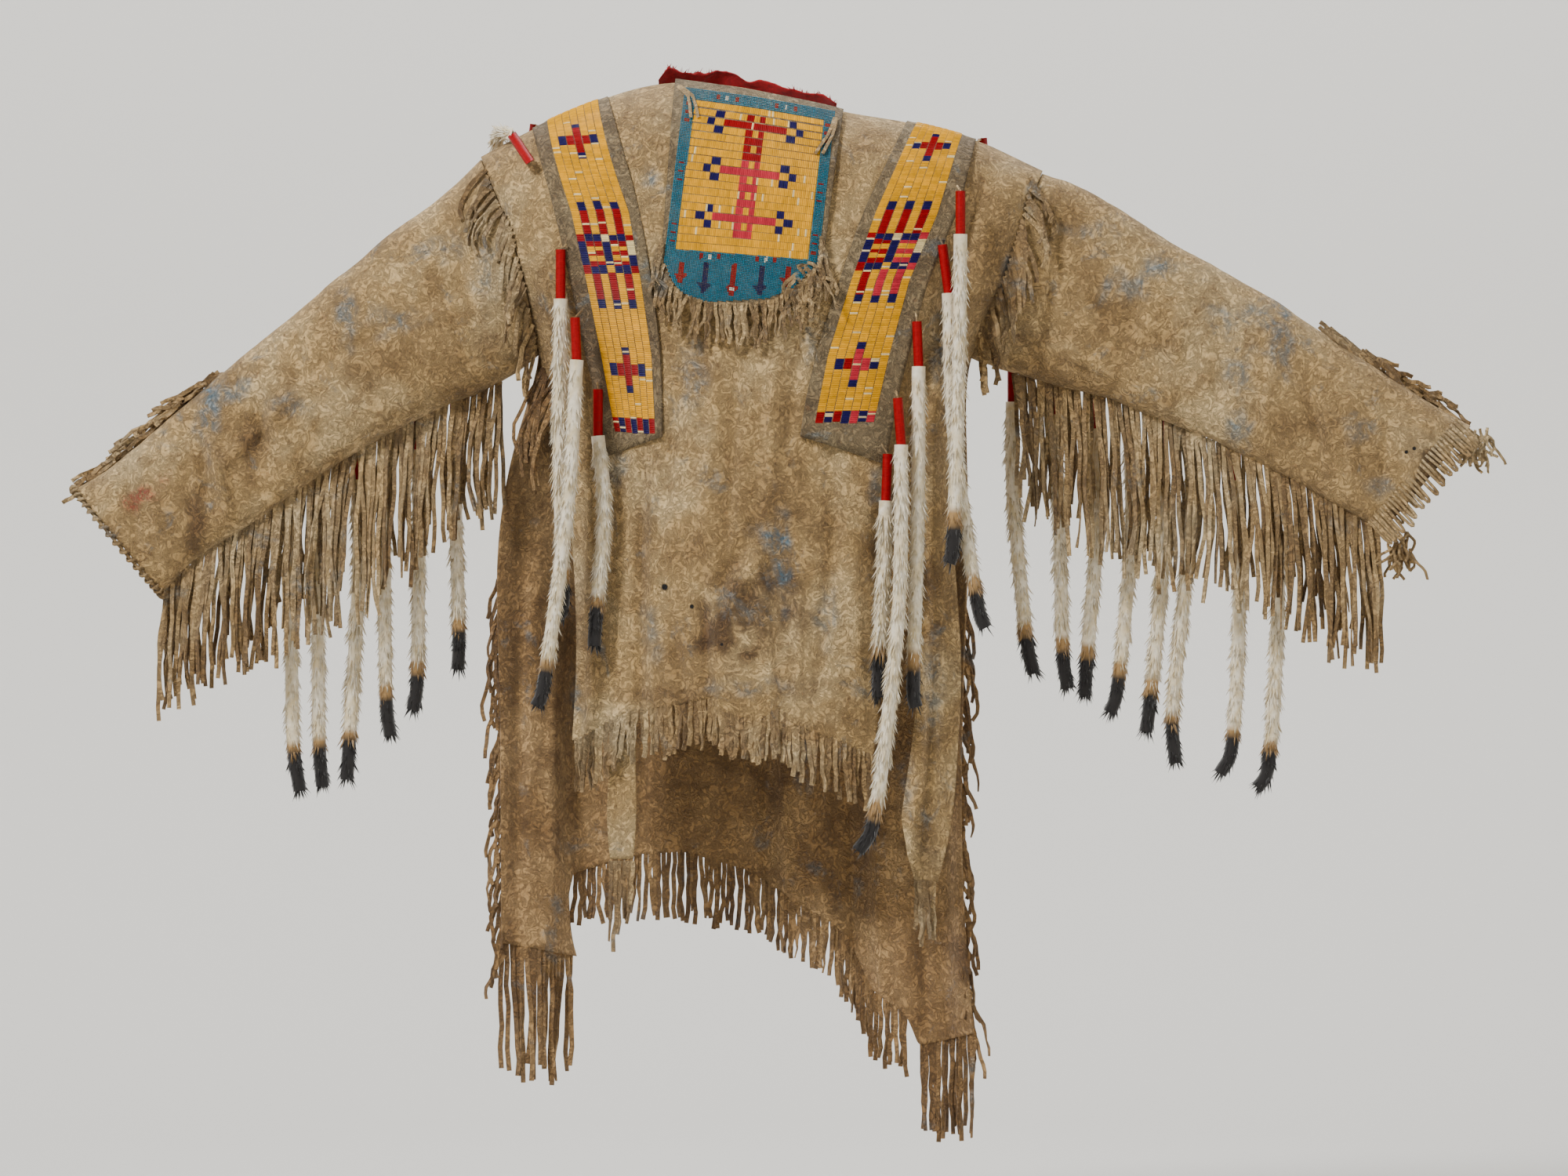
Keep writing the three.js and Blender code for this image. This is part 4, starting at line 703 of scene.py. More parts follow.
# %% Quill wrap, bead and hair
def small_shape(name, points, faces, smooth=True):
    piece = new_mesh(name, points, faces)
    for face in piece.data.polygons:
        face.use_smooth = smooth
    tidy = bmesh.new()
    tidy.from_mesh(piece.data)
    bmesh.ops.recalc_face_normals(tidy, faces=tidy.faces)
    tidy.to_mesh(piece.data)
    tidy.free()
    return piece


wrap_across = [(-0.5, 0.0), (-0.47, 0.86), (0, 1.0), (0.47, 0.86), (0.5, 0.0)]
wrap_along = [(-0.5, 0.5), (0, 1.0), (0.5, 0.5)]
wrap_points = [(x, y, h * g) for y, g in wrap_along for x, h in wrap_across]
wrap_faces = [(5 * j + i, 5 * j + i + 1, 5 * j + i + 6, 5 * j + i + 5) for j in range(2) for i in range(4)]
wrap_faces.append((0, 5, 10, 11, 12, 13, 14, 9, 4, 3, 2, 1))
quill_wrap = small_shape("quill_wrap", wrap_points, wrap_faces, False)

bead_rings = [(0.5, 0.0), (0.5, 0.28), (0.26, 0.5)]
bead_points = [(r * math.cos(math.pi * k / 3), r * math.sin(math.pi * k / 3), h)
               for r, h in bead_rings for k in range(6)]
bead_faces = [(6 * j + k, 6 * j + (k + 1) % 6, 6 * j + 6 + (k + 1) % 6, 6 * j + 6 + k)
              for j in range(2) for k in range(6)]
bead_faces += [tuple(range(5, -1, -1)), tuple(range(12, 18))]
seed_bead = small_shape("seed_bead", bead_points, bead_faces)

hair_rings = [(0.5, 0, 0.0), (0.36, 0.1, 0.55)]
hair_points = [(r * math.cos(2 * math.pi * k / 3), r * math.sin(2 * math.pi * k / 3) + bend, h)
               for r, bend, h in hair_rings for k in range(3)] + [(0, 0.5, 1.0)]
hair_faces = [(2, 1, 0)] + [(k, (k + 1) % 3, 3 + (k + 1) % 3, 3 + k) for k in range(3)]
hair_faces += [(3 + k, 3 + (k + 1) % 3, 6) for k in range(3)]
fur_hair = small_shape("fur_hair", hair_points, hair_faces)
print("three small shapes made")

# %% [markdown]
# Quillwork: flattened, dyed porcupine quills are folded over two rows of sinew stitches, one after
# another, so each lane is a row of small cross ridges. The bands and the bib have a hide backing. The
# colours of each lane follow a chart, written here as rules of lane and length.

# %% Dye colours
def dye(code):
    return np.array(colour(code))


yellow, red, faded = (dye(c) for c in ("#e8a600", "#98000b", "#c22c3c"))
blue_black, bone = (dye(c) for c in ("#1a1050", "#e6cf94"))
turquoise, white_bead, red_bead, navy = (dye(c) for c in ("#007894", "#f0ead8", "#a80010", "#0d1252"))


def vary(tint, amount=0.14):
    return np.append(np.clip(tint[:3] * (1 + rng.uniform(-amount, amount)), 0, 1), 1)


def worn_quill(tint, spot):
    patch = 0.5 + 0.5 * noise.noise(Vector(spot) * 38)
    if rng.random() < 0.05 * patch:
        return vary(bone)
    return vary(tint * (1.06 - 0.3 * patch), 0.16)


# %% [markdown]
# A shoulder band runs over the shoulder. Its lanes are looked for from outside: with lines that turn over
# the shoulder and aim at its middle, and below it with level ones. Each lane also knows how far down the
# band every place lies, which is what the chart is written in.

# %% Rows of places over a shoulder
# each row: its height, and where the band's two edges lie there
band_edges = {
    "left": [(-40, -247, -161), (-150, -219, -122), (-228, -201, -109), (-313, -183, -98), (-414, -161, -96),
             (-540, -160, -98)],
    "right": [(-40, 182, 260), (-150, 130, 236), (-228, 103, 202), (-313, 76, 180), (-414, 57, 156),
              (-540, 62, 152)],
}
field_share = {"left": (0.185, 0.865), "right": (0.135, 0.805)}
band_trees = {}
band_backings = {}
for side in ("left", "right"):
    backing = wall_copy(f"{side}_band_backing", f"band_{side}", 2)
    finish_with(backing, border_hide)
    band_backings[side] = backing
    band_trees[side] = look_up(backing)


def band_x(side, z, share):
    rows = band_edges[side]
    levels = [-row[0] * mm for row in rows]
    left = np.interp(-z, levels, [row[1] * mm for row in rows])
    right = np.interp(-z, levels, [row[2] * mm for row in rows])
    return left + (right - left) * share


def band_path(side, share):
    tree = band_trees[side]
    spots = []
    turn_z, shoulder_high, band_low = -0.15, 0.11, -0.46
    for degrees in range(130, 0, -3):
        turn = math.radians(degrees)
        z_guess = turn_z + shoulder_high * math.sin(turn)
        x = band_x(side, z_guess, share)
        way = Vector((0, -math.cos(turn), math.sin(turn)))
        centre = Vector((x, 0, turn_z))
        spot, normal = tree.ray_cast(centre + way * 0.5, -way)[:2]
        if spot and (spot - centre).dot(way) > 0:
            spots.append((np.array(spot), np.array(normal)))
    z = turn_z
    while z > band_low:
        spot, normal = seen(tree, band_x(side, z, share), z)
        if spot is not None:
            spots.append((spot, normal))
        z -= 0.004
    places = np.array([s for s, _ in spots])
    normals = np.array([n for _, n in spots])
    length = np.append(0, np.cumsum(np.linalg.norm(np.diff(places, axis=0), axis=1)))
    at_turn = np.interp(0.15, -places[:, 2][np.argmax(places[:, 2]):], length[np.argmax(places[:, 2]):])
    return places, normals, (length - at_turn) / mm + 150


def along_path(path, down):
    places, normals, lengths = path
    spot = np.array([np.interp(down, lengths, places[:, k]) for k in range(3)])
    normal = np.array([np.interp(down, lengths, normals[:, k]) for k in range(3)])
    return spot, normal / np.linalg.norm(normal)


band_crosses = ((30, 84), (306, 358))


def band_chart(lane, down):
    # two crosses, each with an upright on the middle lane and arms 14 mm high
    for start, end in band_crosses:
        if start < down < end:
            if lane == 3:
                return blue_black if down < start + 8 or down > end - 8 else red
            if lane in (1, 2, 4, 5) and abs(down - (start + end) / 2) < 7:
                return blue_black if lane in (1, 5) else red
    # three prongs above and below a chequered block, tipped in blue-black
    if lane in (1, 3, 5) and (137 <= down < 176 or 221 <= down < 261):
        return blue_black if down < 147 or down > 251 else red
    if 176 <= down < 221:
        if down < 184 or down > 212:
            if lane == 3:
                return bone if down < 184 else yellow
            return red if lane in (0, 6) else blue_black
        if lane in (1, 2, 4, 5):
            return red if int((down - 184) / 5.6) % 2 == 0 else yellow
        return bone if lane == 6 and down < 200 else blue_black
    # the lowest rows go from red to blue-black and back, lane by lane
    if down >= 387:
        return red if lane % 2 == 0 else blue_black
    return yellow


lane_count = 7
wrap_pitch = 2.1
quill_high = 1.5
quill_sunk = 0.7
quilled_to = {"left": 404, "right": 400}
band_quills = {}
for side in ("left", "right"):
    low, high = field_share[side]
    lane_share = (high - low) / lane_count
    rows = start_rows()
    for lane in range(lane_count):
        left, middle, right = (band_path(side, low + lane_share * (lane + k)) for k in (0.02, 0.5, 0.98))
        down = middle[2][0] + 6
        while down < quilled_to[side]:
            spot, normal = along_path(middle, down)
            ahead, _ = along_path(middle, down + 1.5)
            edge_a, _ = along_path(left, down)
            edge_b, _ = along_path(right, down)
            across = edge_b - edge_a
            wide = np.linalg.norm(across)
            along = ahead - spot
            if np.cross(across, along) @ normal < 0:
                along = -along
            size = (wide * 0.99, wrap_pitch * mm * 1.06, quill_high * mm)
            tint = band_chart(lane, down)
            if side == "right" and tint is red and down > 176 and lane > 2:
                tint = faded
            put(rows, spot - normal * quill_sunk * mm, across, along, size, worn_quill(tint, spot))
            down += wrap_pitch
    band_quills[side] = stamp(f"{side}_band_quills", quill_wrap, quills, *rows)

# %% [markdown]
# The bib is worked twice over. Its middle is nineteen lanes of quills, laid across. Round them runs a
# border of seed beads in short rows, and a beaded panel with downward arrows closes the foot.
# The figures are common ones of Plains quillwork, charted here by rule: a ladder of crossbars, each
# end forked in three small squares.

# %% The bib's backing and its frame
bib_backing = wall_copy("bib_backing", "bib", 2)
finish_with(bib_backing, border_hide)
bib_tree = look_up(bib_backing)


def corner_mix(corners, u, v):
    (a, b), (c, d) = (np.array(row, dtype=float) for row in corners)
    return (a + (b - a) * u) * (1 - v) + (c + (d - c) * u) * v


field_corners = (((-60, -20), (86, -43)), ((-82, -193), (67, -205)))
bead_corners = (((-72, -5), (99, -32)), ((-95, -203), (79, -212)))


def on_bib(x, z, lift):
    spot, normal = seen(bib_tree, x * mm, z * mm)
    return (None, None) if spot is None else (spot + normal * lift * mm, normal)


def lay(rows, spot, normal, across_way, size, tint):
    across = across_way - normal * (across_way @ normal)
    put(rows, spot, across, np.cross(normal, across), tuple(side * mm for side in size), tint)


# %% Quilled field of the bib
def bib_chart(lane, x):
    far = abs(x + 2)
    crossbars = {3: 36.5, 9: 34, 15: 35}
    tone = red if lane < 8 else faded
    for bar, reach in crossbars.items():
        if lane == bar:
            return tone if far < reach else blue_black if reach + 9.5 < far < reach + 19 else yellow
        if abs(lane - bar) == 1 and reach < far < reach + 9.5:
            return blue_black
    if lane == 1 or lane > 17 or far > 11:
        return yellow
    return yellow if lane % 2 == 0 and far < 3.2 else tone


lanes_down = 19
field_wide = 147.0
rows = start_rows()
for lane in range(1, lanes_down + 1):
    v = (lane - 0.5) / lanes_down
    left, right = corner_mix(field_corners, 0, v), corner_mix(field_corners, 1, v)
    way = np.array([right[0] - left[0], 0, right[1] - left[1]])
    lane_high = np.hypot(*(corner_mix(field_corners, 0.5, 1) - corner_mix(field_corners, 0.5, 0))) / lanes_down
    count = int(field_wide / wrap_pitch)
    for k in range(count):
        u = (k + 0.5) / count
        x, z = corner_mix(field_corners, u, v)
        spot, normal = on_bib(x, z, -quill_sunk)
        tint = bib_chart(lane, (u - 0.5) * field_wide)
        down = np.array([way[2], 0, -way[0]])
        size = (lane_high * 0.98, wrap_pitch * 1.08, quill_high)
        lay(rows, spot, normal, down, size, worn_quill(tint, spot))
bib_quills = stamp("bib_quills", quill_wrap, quills, *rows)

# %% Beaded border and foot of the bib
bead_pitch = 1.95
foot_drop = [(0.0, 3), (0.06, 22), (0.14, 42), (0.3, 48), (0.7, 40), (0.86, 26), (0.95, 8), (1.0, 2)]
arrows = [(0.12, 36), (0.28, 46), (0.46, 48), (0.64, 46), (0.81, 36)]


def bead_chart(u, down, long):
    depth = down - long + 9
    if depth > 0:
        for place in (0.24, 0.295, 0.35, 0.60, 0.66, 0.72):
            if 2 < depth < 8 and abs(u - place) < 0.012:
                return white_bead if place in (0.295, 0.66) else red_bead
        for which, (place, tip) in enumerate(arrows):
            away, tone = abs(u - place), navy if which % 2 else red_bead
            half = max(0.014, 0.05 * (tip - depth) / 11 if depth > tip - 11 else 0)
            if 12 < depth < tip and away < half:
                return white_bead if which == 2 and away < 0.012 and tip - 9 < depth < tip - 5 else tone
        return turquoise
    if down < 12:
        for place in (0.228, 0.287, 0.349, 0.61, 0.675, 0.736):
            if 3.5 < down < 9.5 and abs(u - place) < 0.010:
                return white_bead if place in (0.287, 0.675) else red_bead
        return turquoise
    for start in (18, 87, 157 if u < 0.5 else 146):
        if 0.018 < min(u, 1 - u) < 0.06 and 0 < down - start < 26 and (down - start) % 9.9 < 2.9:
            return red_bead
    return turquoise


rows = start_rows()
field_poly = [corner_mix(field_corners, *c) for c in ((0, 0), (1, 0), (1, 1), (0, 1))]


def inside(polygon, x, z):
    turns = [(bx - ax) * (z - az) - (bz - az) * (x - ax)
             for (ax, az), (bx, bz) in zip(polygon, polygon[1:] + polygon[:1])]
    return all(t <= 0 for t in turns) or all(t >= 0 for t in turns)


columns = 88
for column in range(columns):
    u = (column + 0.5) / columns
    top, foot = corner_mix(bead_corners, u, 0), corner_mix(bead_corners, u, 1)
    long = np.hypot(*(foot - top))
    drop = long + np.interp(u, *zip(*foot_drop))
    way = (foot - top) / long
    down = bead_pitch / 2
    while down < drop:
        x, z = top + way * down
        if not inside(field_poly, x, z):
            spot, normal = on_bib(x, z, 0.05)
            if spot is not None:
                tint = bead_chart(u, down, long)
                size = bead_pitch * rng.uniform(0.9, 1.02)
                level = np.array([1.0, 0, -0.15])
                lay(rows, spot, normal, level, (size, size * 0.92, size * 1.15), vary(tint, 0.2))
        down += bead_pitch
bib_beads = stamp("bib_beads", seed_bead, beads, *rows)

# %% [markdown]
# Fringes: each is a strip of skin cut into thongs, or thongs drawn through a seam. A thong is a line
# that hangs, sways and twists a little, and one node tree gives every line its flat section.

# %% A node tree that cuts thongs along lines
round_sides = 8


def line_tree(name, flat):
    tree, source, result = new_tree(name, [
        ("Width", "NodeSocketFloat", 0.005), ("Thickness", "NodeSocketFloat", 0.0012),
        ("Soil", "NodeSocketFloat", 0.4), ("Seed", "NodeSocketInt", 3), ("Finish", "NodeSocketMaterial", None)])
    number = add(tree, "GeometryNodeInputIndex")
    soil = add(tree, "FunctionNodeRandomValue", data_type="FLOAT")
    tree.links.new(source.outputs["Soil"], soil.inputs[3])
    tree.links.new(number.outputs[0], soil.inputs["ID"])
    tree.links.new(source.outputs["Seed"], soil.inputs["Seed"])
    facing = add(tree, "GeometryNodeSetCurveNormal", {0: source.outputs[0]}, mode="FREE", in_Normal=(0, -1, 0))
    kept = add(tree, "GeometryNodeStoreNamedAttribute", {"Geometry": facing.outputs[0]}, data_type="FLOAT",
               domain="CURVE", in_Name="earth_and_shade")
    tree.links.new(soil.outputs[1], kept.inputs["Value"])
    if flat:
        section = add(tree, "GeometryNodeCurvePrimitiveQuadrilateral",
                      {"Width": source.outputs["Thickness"], "Height": source.outputs["Width"]})
    else:
        half = add(tree, "ShaderNodeMath", {0: source.outputs["Width"]}, operation="MULTIPLY", in_1=0.5)
        section = add(tree, "GeometryNodeCurvePrimitiveCircle", {"Radius": half.outputs[0]},
                      in_Resolution=round_sides)
    swept = add(tree, "GeometryNodeCurveToMesh",
                {"Curve": kept.outputs[0], "Profile Curve": section.outputs[0]}, in_Fill_Caps=True)
    end_tree(tree, source, result, swept)
    return tree


flat_tree = line_tree("cut flat thongs along lines", True)
round_tree = line_tree("roll round cords along lines", False)


def lines_to_mesh(name, lines, tree, width, thickness, finish, soil=0.4, smooth=False):
    data = bpy.data.curves.new(name, "CURVE")
    data.dimensions = "3D"
    for points, radii, tilts in lines:
        spline = data.splines.new("POLY")
        spline.points.add(len(points) - 1)
        spline.points.foreach_set("co", np.c_[points, np.ones(len(points))].reshape(-1))
        spline.points.foreach_set("radius", radii)
        spline.points.foreach_set("tilt", tilts)
    drawn = bpy.data.objects.new(name + "_lines", data)
    bpy.context.scene.collection.objects.link(drawn)
    set_tree(drawn, tree, Width=width * mm, Thickness=thickness * mm, Soil=soil, Finish=finish)
    made = evaluated_mesh(drawn)
    bpy.data.objects.remove(drawn)
    piece = bpy.data.objects.new(name, made)
    bpy.context.scene.collection.objects.link(piece)
    for face in made.polygons:
        face.use_smooth = smooth
    print(name, "has", len(lines), "lines and", len(made.polygons), "faces")
    return piece


# %% One thong's line
def thong_line(root, way, length, sway, points=7, tree=None, lift=1.5, toward=-1, flare=1.15):
    # it starts along its way and ends hanging, with one slow bend and a small ripple
    root = np.array(root, dtype=float)
    way = np.array(way, dtype=float) / np.linalg.norm(way)
    bend = rng.normal(0, sway, 2) * mm
    wave = rng.normal(0, sway * 0.55) * mm
    ripple = rng.uniform(0.5, 1.4) * mm
    phase = rng.uniform(0, 6)
    spots = []
    for k in range(points):
        t = k / (points - 1)
        hang = np.array([0, 0, -1.0])
        heading = way * (1 - t) + hang * t
        heading /= np.linalg.norm(heading)
        p = root + (way * (1 - 0.5 * t) + heading * 0.5 * t) * length * mm * t
        swing = wave * math.sin(phase + 5 * t) * t + ripple * math.sin(phase + 14 * t) * min(1, 4 * t)
        p = p + np.array([bend[0] * t * t + swing, bend[1] * t * t * 0.6, 0])
        if tree is not None:
            surface, _ = seen(tree, p[0], p[2], toward)
            if surface is not None:
                clear = surface[1] + toward * lift * mm
                p[1] = min(p[1], clear) if toward < 0 else max(p[1], clear)
        spots.append(p)
    radii = [1.0 - 0.18 * math.sin(math.pi * k / (points - 1)) + (flare - 1) * (k / (points - 1)) ** 3
             for k in range(points)]
    twist = rng.normal(0, 0.8)
    tilts = [rng.normal(0, 0.15) + twist * k / (points - 1) for k in range(points)]
    return spots, radii, tilts


def along(points, share):
    points = np.array(points, dtype=float)
    steps = np.append(0, np.cumsum(np.linalg.norm(np.diff(points, axis=0), axis=1)))
    return np.array([np.interp(share * steps[-1], steps, points[:, k]) for k in range(points.shape[1])])


print("thong lines ready")

# %% [markdown]
# Each fringe follows the line where it is sewn or cut. The lines repeat the sizes of the solids. A hem
# fringe hangs from the cut edge, a sleeve fringe is two thongs deep, and the thongs over the armhole
# seams lie on the skin under them.

# %% Lines of the fringes
front_cut = [(-199, -750), (-177, -741), (-139, -716), (-76, -708), (-40, -700), (-28, -716), (10, -727),
             (35, -712), (49, -730), (101, -750), (142, -768)]
foreleg_cut = [(189, -908), (213, -912)]
left_leg_cut = [(-285, -984), (-240, -992), (-199, -1002)]
back_cut = [(-203, -906), (-125, -885), (-76, -882), (-1, -904), (49, -937), (101, -967), (118, -988),
            (143, -1043), (182, -1068)]
right_leg_cut = [(198, -1104), (230, -1097), (259, -1088)]
root_up = 1.8


def cut_fringe(cut, tree, toward, count, lengths, sway=2.5):
    lines = []
    for k in range(count):
        share = (k + 0.5 + rng.uniform(-0.2, 0.2)) / count
        x, z = along(cut, share) * mm
        spot = None
        for back_up in (0.003, 0.006, 0.01, 0.016, 0.024):
            spot, _ = seen(tree, x * (1 - 0.01), z + back_up, toward)
            if spot is not None:
                break
        if spot is None:
            continue
        length = np.interp(share, np.linspace(0, 1, len(lengths)), lengths) * rng.uniform(0.86, 1.06)
        root = (x, spot[1] - toward * mm, z + root_up * mm)
        lines.append(thong_line(root, (rng.normal(0, 0.04), 0, -1), length, sway))
    return lines


# each fringe: its thongs' lines, their width, the skin that they are cut from, and its solid. The back
# skin's thongs take its darker flesh-side finish, which is partly painted shade behind the front.
fringes = {
    "front_hem_thongs": (cut_fringe(front_cut, skin_tree, -1, 68, (64, 60, 60, 52, 56, 64, 68)), 5.4, hide,
                         "front_hem_fringe"),
    "foreleg_thongs": (cut_fringe(foreleg_cut, skin_tree, -1, 6, (66, 74, 62)), 5.0, hide, "foreleg_fringe"),
    "left_leg_thongs": (cut_fringe(left_leg_cut, back_tree, 1, 19, (142, 152, 150, 148), 3.5), 5.6, inner_hide,
                        "left_leg_fringe"),
    "back_hem_thongs": (cut_fringe(back_cut, back_tree, 1, 84, (60, 72, 80, 76, 70, 66, 74, 80, 72)), 5.2,
                        inner_hide, "back_hem_fringe"),
    "right_leg_thongs": (cut_fringe(right_leg_cut, back_tree, 1, 15, (104, 116, 118, 120)), 5.2, inner_hide,
                         "right_leg_fringe"),
}
tab_depth = (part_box("front_tab")[0][1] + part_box("front_tab")[1][1]) / 2
tab_lines = [thong_line((x * mm, tab_depth, -0.887), (0, 0, -1), length, 2.5)
             for x, length in ((-157, 92), (-152, 104), (-147, 84), (-141, 66), (-136, 72), (-132, 50))]
fringes["tab_thongs"] = (tab_lines, 4.8, hide, "tab_fringe")
print("hem fringes:", {name: len(rows[0]) for name, rows in fringes.items()})

# %% Side, sleeve and seam fringes
side_count, seam_count, armpit_count, crest_count, bib_count, bib_tangle = 44, 30, 16, 44, 64, 26
side_edges = {"left": [(-282, -540), (-290, -620), (-286, -700), (-285, -860), (-284, -1000)],
              "right": [(252, -590), (246, -700), (244, -860), (250, -1000), (260, -1085)]}
for side, sign in (("left", -1), ("right", 1)):
    lines = []
    for k in range(side_count):
        x, z = along(side_edges[side], (k + 0.5 + rng.uniform(-0.3, 0.3)) / side_count) * mm
        spot, _ = seen(back_tree, x - sign * 0.006, z, 1)
        y = 0.012 if spot is None else spot[1] - 0.001
        lines.append(thong_line((x - sign * 0.003, y, z), (rng.uniform(0.15, 0.55) * sign, -0.05, -0.9),
                                rng.uniform(44, 76), 4, 9))
    fringes[f"side_thongs_{side}"] = (lines, 4.4, inner_hide, f"side_fringe_{side}")

sleeve_reach = {"left": (166, 162, 180, 202, 192, 184, 176, 170, 150),
                "right": (150, 190, 205, 202, 184, 186, 190, 188, 168)}
for side, sign in (("left", -1), ("right", 1)):
    low_line = [ring_point(side, row, math.pi) for row in range(1, len(sleeve_rings[side]))]
    lines = []
    for layer, count in ((0, 84), (1, 78)):
        for k in range(count):
            share = (k + 0.5 + rng.uniform(-0.35, 0.35)) / count
            root = along(low_line, share)
            length = np.interp(share, np.linspace(0, 1, 9), sleeve_reach[side]) * rng.uniform(0.84, 1.04)
            if layer:
                length *= rng.uniform(0.7, 0.98)
            root = root + np.array([0, (layer - 0.5) * 0.005 + rng.uniform(-0.002, 0.002), 0.004])
            way = (0.08 * sign + rng.normal(0, 0.06), (0.5 - layer) * -0.12 + rng.normal(0, 0.03), -1)
            lines.append(thong_line(root, way, length, 6, 11, flare=1.35))
    fringes[f"sleeve_thongs_{side}"] = (lines, 4.7, hide, f"sleeve_fringe_{side}")

seam_lines = {"left": [(-300, -96), (-290, -128), (-272, -160), (-262, -205), (-250, -250), (-243, -300)],
              "right": [(322, -104), (316, -140), (306, -175), (294, -215), (274, -262), (258, -300)]}
for side, sign in (("left", -1), ("right", 1)):
    lines = []
    for k in range(seam_count):
        x, z = along(seam_lines[side], (k + 0.5 + rng.uniform(-0.3, 0.3)) / seam_count) * mm
        spot, _ = seen(skin_tree, x, z)
        if spot is None:
            continue
        root = (x, spot[1] - 0.0022, z)
        fan = 0.95 if z > -0.15 else 0.35
        way = (sign * rng.uniform(0.4, 1.1) * fan, -0.12, -0.8)
        lines.append(thong_line(root, way, rng.uniform(48, 78), 4, 8, skin_tree, rng.uniform(1.8, 5.5)))
    fringes[f"seam_thongs_{side}"] = (lines, 5.0, hide, f"seam_fringe_{side}")

armpit = []
for k in range(armpit_count):
    x, z = along([(-236, -322), (-227, -345), (-220, -372)], (k + 0.5) / armpit_count) * mm
    spot, _ = seen(skin_tree, x + 0.004, z)
    y = -0.02 if spot is None else spot[1]
    armpit.append(thong_line((x, y + rng.uniform(-0.003, 0.003), z), (-0.45 + rng.normal(0, 0.12), -0.1, -0.9),
                             rng.uniform(70, 108), 4))
# cut from the front skin, the armpit thongs take the darker flesh-side finish as painted shade under the arm
fringes["armpit_thongs"] = (armpit, 4.0, inner_hide, "armpit_fringe")

crest_lines = {"left": [(-600, -328), (-660, -374), (-724, -431), (-766, -459)],
               "right": [(650, -274), (700, -308), (760, -348), (812, -380)]}
for side, sign in (("left", -1), ("right", 1)):
    lines = []
    run = np.array([0.76 * sign, 0, -0.65])
    for k in range(crest_count):
        x, z = along(crest_lines[side], (k + rng.uniform(0.2, 0.8)) / (crest_count + 3)) * mm
        proud = rng.uniform(-0.002, 0.008)
        root = np.array([x + 0.65 * sign * proud, rng.uniform(-0.02, 0.008), z + 0.76 * proud])
        tip_up = rng.uniform(-0.04, 0.06) if rng.random() < 0.75 else rng.uniform(0.15, 0.5)
        length = rng.uniform(34, 62) * mm
        curl = rng.uniform(0.5, 2.2) * mm
        spots = [root + run * length * t
                 + np.array([0, 0.003 * t, tip_up * length * t + curl * math.sin(9 * t + k)])
                 for t in np.linspace(0, 1, 8)]
        lines.append((spots, [1, 0.95, 0.9, 0.9, 0.9, 0.95, 1.05, 1.2], list(rng.normal(0, 0.5, 8))))
    fringes[f"crest_thongs_{side}"] = (lines, 4.8, hide, f"crest_fringe_{side}")

bib_rim = [(-97, -185), (-98, -205), (-86, -236), (-72, -248), (-45, -257), (0, -258), (28, -254),
           (48, -243), (66, -230), (80, -212), (82, -180)]
fringe_front = cad_box[0][1] - 11 * mm
dressed_tree = look_up(front, *sleeves.values(), bib_backing)
lines = []
for k in range(bib_count):
    share = (k + 0.5 + rng.uniform(-0.3, 0.3)) / bib_count
    x, z = along(bib_rim, share) * mm
    spot, _ = seen(dressed_tree, x, z + 0.004)
    way = ((share - 0.5) * 0.7 + rng.normal(0, 0.1), -0.05, -1)
    lines.append(thong_line((x, spot[1] - 0.002, z + 0.004), way, rng.uniform(38, 54), 4.5, 8, dressed_tree,
                            rng.uniform(1.5, 6)))
for k in range(bib_tangle):
    x, z = 62 + rng.uniform(-10, 22), -222 + rng.uniform(-26, 16)
    spot, _ = seen(skin_tree, x * mm, z * mm)
    lines.append(thong_line((x * mm, spot[1] - 0.007, z * mm), (rng.uniform(-1, 1), -0.2, rng.uniform(-1, 0.3)),
                            rng.uniform(22, 44), 6, 7, skin_tree, rng.uniform(4, 9)))
# none of them stands more than a thong's width or two in front of the solids
for spots, _, _ in lines:
    for spot in spots:
        spot[1] = max(spot[1], fringe_front)
fringes["bib_thongs"] = (lines, 4.0, hide, "bib_fringe")

thong_thick = 1.6
fringe_pieces = {}
for name, (lines, width, skin, node) in fringes.items():
    piece = lines_to_mesh(name, lines, flat_tree, width, thong_thick, thong_hide if skin is hide else skin, 0.6)
    # the armpit thongs keep the hide slot, as their darker finish is only painted shade
    inner = skin is inner_hide and name != "armpit_thongs"
    fringe_pieces[name] = (piece, node, "inner_hide" if inner else "hide")

# %% [markdown]
# The left cuff is overcast with one thong, so its edge looks like a thick cord. The right cuff carries
# thongs looped through it, close together, that hang over the opening.

# %% Cuffs
def cuff_ring(side, share, beyond):
    turn = 2 * math.pi * share
    last, inner = ring_point(side, -1, turn), ring_point(side, -2, turn)
    way = (last - inner) / np.linalg.norm(last - inner)
    return last + way * beyond, way


